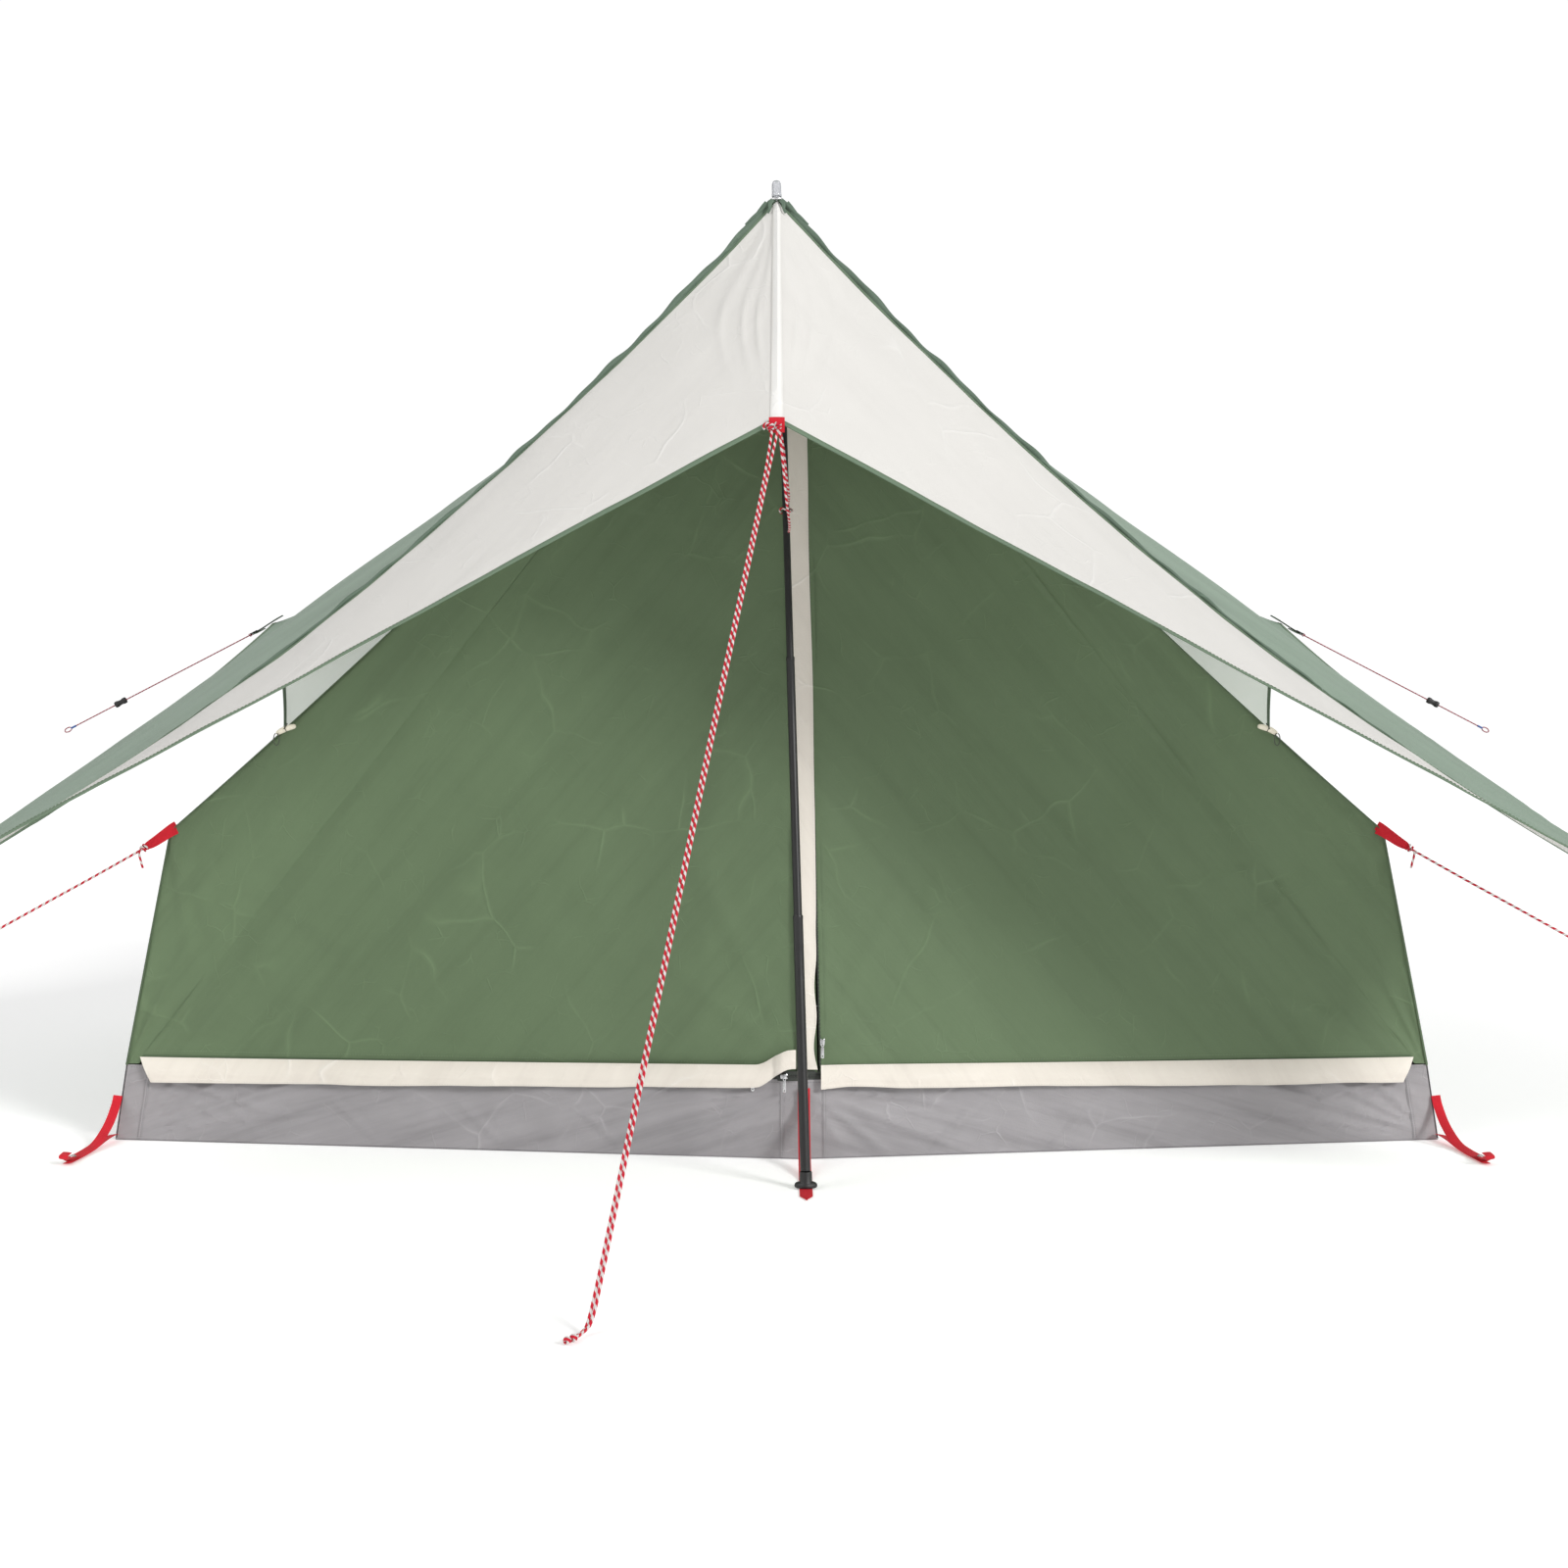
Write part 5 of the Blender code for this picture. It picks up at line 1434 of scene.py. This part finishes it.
def tub_seams(panel, side, x_side, y_side):
    """Upright stitched joins near each corner and beside the middle, and the folded top edge."""
    share = np.linspace(0.01, 0.99, 24)
    reach = TUB_TOP_HALF_WIDTH + BASE_NOSE[0] * -x_side
    for k, place_x in enumerate((1.386, 0.011 if x_side == LEFT else 0.1)):
        row = (TUB_TOP_HALF_WIDTH - abs(place_x)) / reach
        if k == 1:
            row = (TUB_TOP_HALF_WIDTH + (place_x if x_side == LEFT else -place_x)) / reach
        row = min(row, 0.985)
        rows = []
        for t in (-1, -0.5, 0, 0.5, 1):
            spots, normal = panel.read(row + t * 0.0045 / reach, share)
            rows.append(spots + normal * (0.0009 + 0.0009 * (1 - t * t)))
        fold = Cloth(np.stack(rows), (0, y_side, 0))
        fold.piece(f"tub_seam_{side}_{k}", GREY, *ON_TUB, 0.0008, flat=False)
        for j, t in ((1, -0.0026), (2, 0.0026)):
            spots, normal = panel.read(row + t / reach, share)
            stitches(f"tub_stitch_{side}_{k}_{j}", spots + normal * 0.0016, normal, THREAD_GREY, *ON_TUB,
                     *TUB_STITCH)
    across = np.linspace(0.003, 0.997, 120)
    panel.sew(f"tub_top_stitch_{side}", across, 0.965, THREAD_GREY, *ON_TUB, *TUB_TOP_STITCH)


def groundsheet_piece():
    xs = np.linspace(-BASE_HALF_WIDTH, BASE_HALF_WIDTH, 121)
    nose = BASE_NOSE[1] - BASE_HALF_DEPTH
    share = np.where(xs < BASE_NOSE[0], (xs + BASE_HALF_WIDTH) / (BASE_HALF_WIDTH + BASE_NOSE[0]),
                     (BASE_HALF_WIDTH - xs) / (BASE_HALF_WIDTH - BASE_NOSE[0]))
    depth = BASE_HALF_DEPTH + nose * share
    front = np.stack([xs, -depth, np.full_like(xs, 0.0006)], axis=1)
    rear = np.stack([xs, depth, np.full_like(xs, 0.0006)], axis=1)
    points = ruled(front, rear, shares(81))
    panel = Cloth(points, (0, 0, 1))
    item = panel.piece("groundsheet", GREY, *ON_TUB, 0.0012, held="laid")
    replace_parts(item, "groundsheet_floor")


# ---- storm flaps and zips ----
def bottom_flaps():
    """Cream flaps over the bottom zips; the left one's inner end is pushed up at the threshold."""
    for x_side, inner_end in ((LEFT, 0.04), (RIGHT, 0.093)):
        side = side_name(x_side)
        outer = x_side * 1.402
        xs = np.linspace(outer, inner_end, 170)
        toward = np.clip((x_side * xs - x_side * outer) / (x_side * inner_end - x_side * outer), 0, 1)
        top = 0.184 + 0.013 * np.clip(toward * 1.05, 0, 1) ** 1.3
        bottom = 0.13 + 0.021 * np.clip(toward * 1.05, 0, 1) ** 1.3
        if x_side == LEFT:
            rise = np.clip((xs + 0.045) / 0.075, 0, 1)
            rise = rise * rise * (3 - 2 * rise)
            top = top + 0.033 * rise
            bottom = bottom + 0.04 * rise
        else:
            droop = np.clip((0.15 - xs) / 0.05, 0, 1)
            bottom = bottom - 0.004 * droop
        ripple = 0.0016 * layered(xs, xs * 0, 0.14, 141 + x_side, 2)
        bottom = bottom + ripple
        base_y = np.array([front_y(float(x), 1.02) for x in xs])
        cut = 0.026 * (1 - np.clip(toward / 0.02, 0, 1))
        rows = []
        for t in shares(18):
            z = top + (bottom - top) * t
            x = xs - x_side * t * cut
            billow = FLAP_STAND_OFF * (0.3 + 0.7 * math.sin(math.pi * min(t * 0.75 + 0.02, 0.62)))
            pulse = 0.003 * layered(xs, xs * 0 + 3.1, 0.09, 151 + x_side, 2) * math.sin(math.pi * t * 0.8)
            rows.append(np.stack([x, base_y - billow - pulse, z], axis=1))
        panel = Cloth(np.stack(rows), (0, -1, 0))
        item = panel.piece(f"bottom_flap_{side}", CREAM, *ON_FLAP, 0.001)
        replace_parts(item, f"storm_flap_{side}")
        share = np.linspace(0.002, 0.998, 170)
        for k, row in ((1, 0.07), (2, 0.94)):
            panel.sew(f"bottom_flap_stitch_{side}_{k}", row, share, THREAD_PALE, *ON_FLAP, *FLAP_STITCH)


def middle_flap():
    """The upright cream flap beside the middle zip; its free edge waves at the foot."""
    heights = np.linspace(0.188, 1.815, 150)
    rows = []
    for height in heights:
        y = leaf_y(height)
        slack = max(0.0, min(1.0, (0.52 - height) / 0.35))
        wave = 0.005 * slack * math.sin(height * 47.0) + 0.001 * math.sin(height * 13.0 + 1.0)
        row = []
        for t in shares(12):
            cover = 0.0095 * min(1.0, max(0.0, (height - 0.28) / 0.45)) - 0.004
            x = seam_x(height) - 0.042 + (0.042 + cover + wave) * t
            bulge = 0.0022 + 0.0024 * math.sin(math.pi * t) + 0.0052 * slack * t * t
            row.append((x, y - bulge, height))
        rows.append(row)
    panel = Cloth(np.array(rows), (0, -1, 0))
    item = panel.piece("middle_flap", CREAM, "door_left_leaf", "flap_cloth", 0.001, "hung")
    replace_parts(item, "storm_flap_middle")
    for k, column in ((1, 0.06), (2, 0.92)):
        panel.sew(f"middle_flap_stitch_{k}", np.linspace(0.003, 0.997, 150), column, THREAD_PALE,
                  "door_left_leaf", "flap_cloth", *FLAP_STITCH)


def coil(name, points, up, body, width=0.0056):
    """A closed zip: two tapes and the row of interlocked turns between them, in one mesh."""
    points = np.asarray(points, float)
    steps = distances(points)
    count = int(steps[-1] / COIL_PITCH)
    spots = (np.arange(count) + 0.5) * COIL_PITCH
    centre = read_path(points, steps, spots)
    along = unit(np.gradient(centre, axis=0))
    up = unit(np.asarray(up, float))
    side = unit(np.cross(along, up))
    verts, faces = [], []
    ring = [(-0.5, 0.0), (-0.32, 0.75), (0.0, 1.0), (0.32, 0.75), (0.5, 0.0), (0.0, -0.5)]
    for k in range(count):
        lean = (0.22 if k % 2 else -0.22) * COIL_PITCH
        first = len(verts)
        for shift in (-0.36, 0.36):
            for a, b in ring:
                verts.append(centre[k] + side[k] * a * width + up * b * 0.0016
                             + along[k] * (shift * COIL_PITCH + lean * a * 2))
        faces += ring_faces(2, len(ring), first=first)
    item = add_piece(name, verts, faces, COIL, body, "zip_metal", smooth=False)
    face_out(item)
    return item


def zips():
    """The bottom coils on their tapes, and the middle coil on the right leaf's edge."""
    for x_side, side in SIDES:
        xs = np.linspace(BASE_NOSE[0] + x_side * 0.002, x_side * 1.392, 120)
        points = np.array([(x, front_y(float(x)) - 0.0006, ZIP_HEIGHT) for x in xs])
        coil(f"bottom_coil_{side}", points, (0, -1, 0), "root")
        strap(f"bottom_tape_{side}", points + (0, 0.0011, 0), 0.021, (0, 0, 1), COIL, *ON_INNER_TENT, 0.0009)
    heights = np.linspace(0.19, 1.79, 140)
    points = []
    for height in heights:
        y = leaf_y(height)
        points.append((seam_x(height) + 0.0034, y - 0.001, height))
    points = np.array(points)
    coil("middle_coil", points, (0, -1, 0), "door_right_leaf", 0.0046)
    strap("middle_tape", points + (0.0055, 0.0004, 0), 0.011, (1, 0, 0), INNER, "door_right_leaf",
          "inner_cloth", 0.0008)


def slider_places():
    middle = 0.245
    nose_dir = {}
    for x_side in (LEFT, RIGHT):
        start = np.array((BASE_NOSE[0], front_y(BASE_NOSE[0]), ZIP_HEIGHT))
        end = np.array((x_side * 1.3, front_y(1.3), ZIP_HEIGHT))
        nose_dir[x_side] = unit(end - start)
    seam = np.array((seam_x(1.6) - seam_x(0.3), 0.0, 1.3))
    return (("left", np.array((-0.05, front_y(-0.05), ZIP_HEIGHT)), nose_dir[LEFT]),
            ("right", np.array((0.015, front_y(0.015, most=2.0), ZIP_HEIGHT)), nose_dir[RIGHT]),
            ("middle", np.array((seam_x(middle) + 0.0095, front_y(0.1) - 0.0055, middle)), unit(seam)))


def slab(outline, depth, hole=None):
    """A plate from a 2-D outline with a bevelled rim and a matching hole: points (a, b, c) and faces.
    With a hole, outline and hole hold the same number of points."""
    outline = np.asarray(outline, float)
    middle = outline.mean(axis=0)
    loops = [(outline + (middle - outline) * 0.1, depth), (outline, depth * 0.55), (outline, -depth * 0.55),
             (outline + (middle - outline) * 0.1, -depth)]
    if hole is not None:
        hole = np.asarray(hole, float)
        loops += [(hole, -depth), (hole, depth)]
    points = [(p[0], p[1], level) for ring, level in loops for p in ring]
    return np.array(points), ring_faces(len(loops), len(outline), hole is None, hole is not None)


def rounded(width, height, corner, count=32):
    """A rounded rectangle's outline, the same number of points whatever its size."""
    points = []
    for k in range(count):
        a = math.tau * k / count
        c, s = math.cos(a), math.sin(a)
        x = (width / 2 - corner) * (1 if c > 0 else -1) + corner * c
        y = (height / 2 - corner) * (1 if s > 0 else -1) + corner * s
        points.append((x, y))
    return points


def placed_slab(centre, right, up, out, parts):
    """Joins slabs given as (points, faces, shift) in the frame right, up, out round centre."""
    verts, faces = [], []
    for points, rings, (a, b, c) in parts:
        first = len(verts)
        for x, y, z in points:
            verts.append(centre + right * (x + a) + up * (y + b) + out * (z + c))
        faces += [[i + first for i in ring] for ring in rings]
    return verts, faces


def sliders():
    for name, centre, way in slider_places():
        flat = name != "middle"
        along = way if flat else np.array((1.0, 0, 0))
        out = unit(np.array((along[1], -along[0], 0)))
        out = out if out[1] < 0 else -out
        up = np.array((0.0, 0, 1.0))
        run, wide = (along, up) if flat else (up, along)
        shield = [(-0.0072, -0.003), (-0.006, -0.0042), (-0.002, -0.0046), (0.003, -0.005),
                  (0.0066, -0.0046), (0.0074, -0.003), (0.005, 0.0), (0.0074, 0.003), (0.0066, 0.0046),
                  (0.003, 0.005), (-0.002, 0.0046), (-0.006, 0.0042), (-0.0072, 0.003)]
        top = slab(shield, 0.0008)
        post = slab(rounded(0.0042, 0.003, 0.001, 16), 0.0022)
        bridge = slab(rounded(0.01, 0.0026, 0.001, 16), 0.0007)
        lug = slab(rounded(0.0018, 0.0026, 0.0006, 16), 0.0011)
        parts = [(*top, (0, 0, 0.0022)), (*top, (0, 0, -0.0022)), (*post, (-0.004, 0, 0)),
                 (*bridge, (-0.0002, 0, 0.0052)), (*lug, (-0.0044, 0, 0.0037)), (*lug, (0.004, 0, 0.0037))]
        verts, faces = placed_slab(centre, run, wide, out, parts)
        item = add_piece(f"slider_{name}", verts, faces, CHROME, f"zip_{name}", "zip_metal", sharp=35)
        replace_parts(item, f"zip_slider_{name}")
        pivot = centre + out * 0.006 + (0, 0, -0.002)
        hole = rounded(0.0032, 0.0032, 0.0015, 32)
        paddle = slab([(x * (1 + 0.1 * (-y / 0.0125)), y) for x, y in rounded(0.0066, 0.025, 0.003, 32)],
                      0.0007, [(x, y - 0.0078) for x, y in hole])
        eye = slab(rounded(0.006, 0.0074, 0.0022, 32), 0.0006, rounded(0.003, 0.0042, 0.0012, 32))
        verts, faces = placed_slab(pivot, along, up, out,
                                   [(*paddle, (0, -0.0186, 0)), (*eye, (0, -0.0032, 0))])
        item = add_piece(f"pull_{name}", verts, faces, CHROME, f"pull_{name}", "zip_metal", sharp=35)
        face_out(item)
        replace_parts(item, f"zip_pull_{name}")


# ---- straps and toggles ----
def toggles():
    for x_side, side in SIDES:
        centre = np.array((x_side * 1.057, -1.158, 0.903))
        way = unit(np.array((1, 0, -0.4 * x_side)))
        bend = unit(np.array((0.4 * x_side, 0, 1)))
        route = [centre + way * t * 0.0225 + bend * 0.003 * (1 - t * t) for t in np.linspace(-1, 1, 28)]
        size = [0.38 + 0.62 * math.sqrt(max(0.0, 1 - (abs(t) ** 3.2))) for t in np.linspace(-1, 1, 28)]
        item = tube(f"toggle_{side}", np.array(route), 0.0062, TOGGLE, f"toggle_{side}", "toggle", 24,
                    taper=size)
        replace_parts(item, f"door_toggle_{side}")
        band = centre + bend * 0.003
        ring = [band + bend * 0.0066 * math.cos(a) + np.array((0, 0.0066, 0)) * math.sin(a)
                for a in np.linspace(0, math.tau, 30)]
        tube(f"toggle_band_{side}", np.array(ring), 0.0007, LOOP, f"toggle_{side}", "toggle", 8)
        hang = [centre + (0.0, 0.009, 0.014), centre + (0, 0.004, 0.012), centre + (0.001, -0.004, 0.01),
                centre + (x_side * 0.003, -0.0078, 0.002)]
        tube(f"toggle_elastic_{side}", smooth_route(hang, 20), 0.0012, LOOP, *ON_TOGGLE_SLOT, 8)
        low = centre + (x_side * 0.02, 0.0, -0.008)
        loop = [low + (0.006 * math.sin(a) * x_side, -0.0046 - 0.0015 * math.cos(a),
                       -0.012 + 0.013 * math.cos(a)) for a in np.linspace(0.2, math.tau - 0.2, 26)]
        tube(f"toggle_loop_{side}", np.array(loop), 0.0011, LOOP, *ON_TOGGLE_SLOT, 8)


def apex_loops():
    for y_side, where in ENDS:
        height = APEX[2] - 0.012
        hub = pole_point(y_side, height)
        radius = TIP_CAP_RADIUS + 0.0027
        turn = [hub + (radius * math.sin(a), y_side * radius * math.cos(a), 0)
                for a in np.linspace(-0.8 * math.pi, 0.8 * math.pi, 29)]
        back = APEX[1] + 0.0035
        route = [np.array((-0.0025, y_side * back, height))] + turn + [np.array((0.0025, y_side * back,
                                                                                 height))]
        item = strap(f"apex_webbing_{where}", resample(np.array(route), 60), 0.015, (0, 0, 1), RED, *ON_WEB,
                     0.0012)
        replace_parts(item, f"apex_loop_{where}")


def middle_straps():
    for y_side, where in ENDS:
        x = POLE_FOOT[0]
        points = [(x, y_side * 1.2685, 0.15), (x, y_side * 1.277, 0.105), (x, y_side * 1.345, 0.04),
                  (x, y_side * 1.43, 0.01), (x, y_side * 1.49, 0.0009), (x, y_side * 1.6, 0.0009),
                  (x, y_side * 1.63, 0.0009), (x, y_side * 1.655, 0.0009)]
        route = smooth_route(points, 90)
        route[:, 2] = np.maximum(route[:, 2], 0.0009)
        left = path_length(route) - distances(route)
        widths = np.clip(left / 0.032, 0.1, 1.0)
        item = strap(f"centre_strap_{where}", route, 0.0255, (1, 0, 0), RED, *ON_WEB, 0.0016, widths)
        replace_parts(item, f"middle_strap_{where}")
        up = np.tile((0, y_side * 0.8, 0.6), (len(route[2:70]), 1))
        for k, shift in ((1, -0.0105), (2, 0.0105)):
            stitches(f"centre_strap_stitch_{where}_{k}", route[2:70] + (shift, y_side * 0.0006, 0.0005), up,
                     THREAD_RED, *ON_WEB, *STRAP_STITCH)


def corner_straps():
    """A strap folded into a V at the tub's corner, brought together at the ground round an eyelet."""
    for y_side in (FRONT, REAR):
        for x_side in (LEFT, RIGHT):
            where = corner_name(x_side, y_side)
            flip = np.array((x_side, y_side, 1.0))
            first = [(1.453, 1.0545, 0.098), (1.456, 1.064, 0.074), (1.46, 1.1, 0.04), (1.464, 1.16, 0.014),
                     (1.467, 1.22, 0.0078), (1.472, 1.32, 0.0068)]
            second = [(1.459, 1.0545, 0.012), (1.462, 1.072, 0.013), (1.466, 1.115, 0.01),
                      (1.468, 1.165, 0.005), (1.469, 1.22, 0.0028), (1.473, 1.32, 0.0028)]
            for k, (points, slant) in enumerate(((first, 0.35), (second, -0.1))):
                across = unit(np.array((1.0, -0.05, slant)) * flip)
                item = strap(f"corner_webbing_{where}_{k + 1}", smooth_route(np.array(points) * flip, 60),
                             0.02, across, RED, *ON_WEB)
                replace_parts(item, f"corner_strap_{where}")
            curl = [(1.47, 1.265, 0.0095), (1.472, 1.305, 0.0105), (1.4735, 1.336, 0.014),
                    (1.4735, 1.34, 0.021), (1.4725, 1.318, 0.025)]
            strap(f"corner_curl_{where}", smooth_route(np.array(curl) * flip, 34), 0.019,
                  unit(np.array((1.0, -0.05, 0.1)) * flip), RED, *ON_WEB)
            ring = [(0.0032, -0.0012), (0.0058, -0.0012), (0.0066, 0.0), (0.0058, 0.0016), (0.0044, 0.0024),
                    (0.0032, 0.0014)]
            lathe(f"corner_eyelet_{where}", ring, np.array((1.4705, 1.29, 0.0115)) * flip,
                  (0.05 * x_side, 0, 1), ALLOY, *ON_METAL, 28)


# ---- the studio ----
def studio():
    scene = bpy.context.scene
    scene.view_settings.view_transform = "Standard"
    scene.view_settings.exposure = EXPOSURE
    world = bpy.data.worlds.new("studio")
    scene.world = world
    world.use_nodes = True
    tree = world.node_tree
    sky = tree.nodes["Background"]
    sky.inputs["Color"].default_value = (1.0, 1.0, 1.0, 1.0)
    sky.inputs["Strength"].default_value = ROOM_LIGHT
    backdrop = tree.nodes.new("ShaderNodeBackground")
    backdrop.inputs["Color"].default_value = (1.0, 1.0, 1.0, 1.0)
    backdrop.inputs["Strength"].default_value = BACKDROP
    choose = tree.nodes.new("ShaderNodeMixShader")
    tree.links.new(tree.nodes.new("ShaderNodeLightPath").outputs["Is Camera Ray"], choose.inputs[0])
    tree.links.new(sky.outputs[0], choose.inputs[1])
    tree.links.new(backdrop.outputs[0], choose.inputs[2])
    tree.links.new(choose.outputs[0], tree.nodes["World Output"].inputs["Surface"])
    half = 60.0
    mesh = bpy.data.meshes.new("floor")
    mesh.from_pydata([(-half, -half, 0), (half, -half, 0), (half, half, 0), (-half, half, 0)], [],
                     [[0, 1, 2, 3]])
    finish, shader = new_material("studio_floor", 0.9, specular=0.0)
    n = Nodes(finish)
    pale = n.mix(n.noise(n.place(), 0.4), (0.93, 0.93, 0.93, 1), (0.96, 0.96, 0.96, 1))
    n.put(shader, "Base Color", pale)
    shader.inputs["Emission Color"].default_value = (1, 1, 1, 1)
    shader.inputs["Emission Strength"].default_value = FLOOR_GLOW
    mesh.materials.append(finish)
    floor = bpy.data.objects.new("floor", mesh)
    scene.collection.objects.link(floor)
    floor.location.z = -0.0008
    for name, way, softness, power in SUNS:
        lamp = bpy.data.lights.new(name, "SUN")
        lamp.angle = math.radians(softness)
        lamp.energy = power
        item = bpy.data.objects.new(name, lamp)
        scene.collection.objects.link(item)
        item.location = Vector(way) * 8
        item.rotation_euler = Vector(way).to_track_quat("Z", "Y").to_euler()
    lens = bpy.data.cameras.new("camera")
    lens.sensor_width, lens.lens = SENSOR_MM, FOCAL_MM
    lens.shift_x, lens.shift_y = LENS_SHIFT
    lens.clip_end = 300
    camera = bpy.data.objects.new("camera", lens)
    scene.collection.objects.link(camera)
    camera.location = CAMERA_PLACE
    camera.rotation_euler = (math.radians(90), 0, 0)
    scene.camera = camera


def main():
    studio()
    poles()
    roofs = fly_roofs()
    roof_edges(roofs)
    covers = beaks()
    beak_tape(covers)
    peak_trims()
    corner_patches(roofs)
    front_rope()
    front_tab()
    eave_guys()
    side_guys()
    door_panels()
    gusset_panels()
    rear_panels()
    side_panels()
    seam_cords()
    tub_panels()
    groundsheet_piece()
    bottom_flaps()
    middle_flap()
    zips()
    sliders()
    toggles()
    apex_loops()
    middle_straps()
    corner_straps()


main()
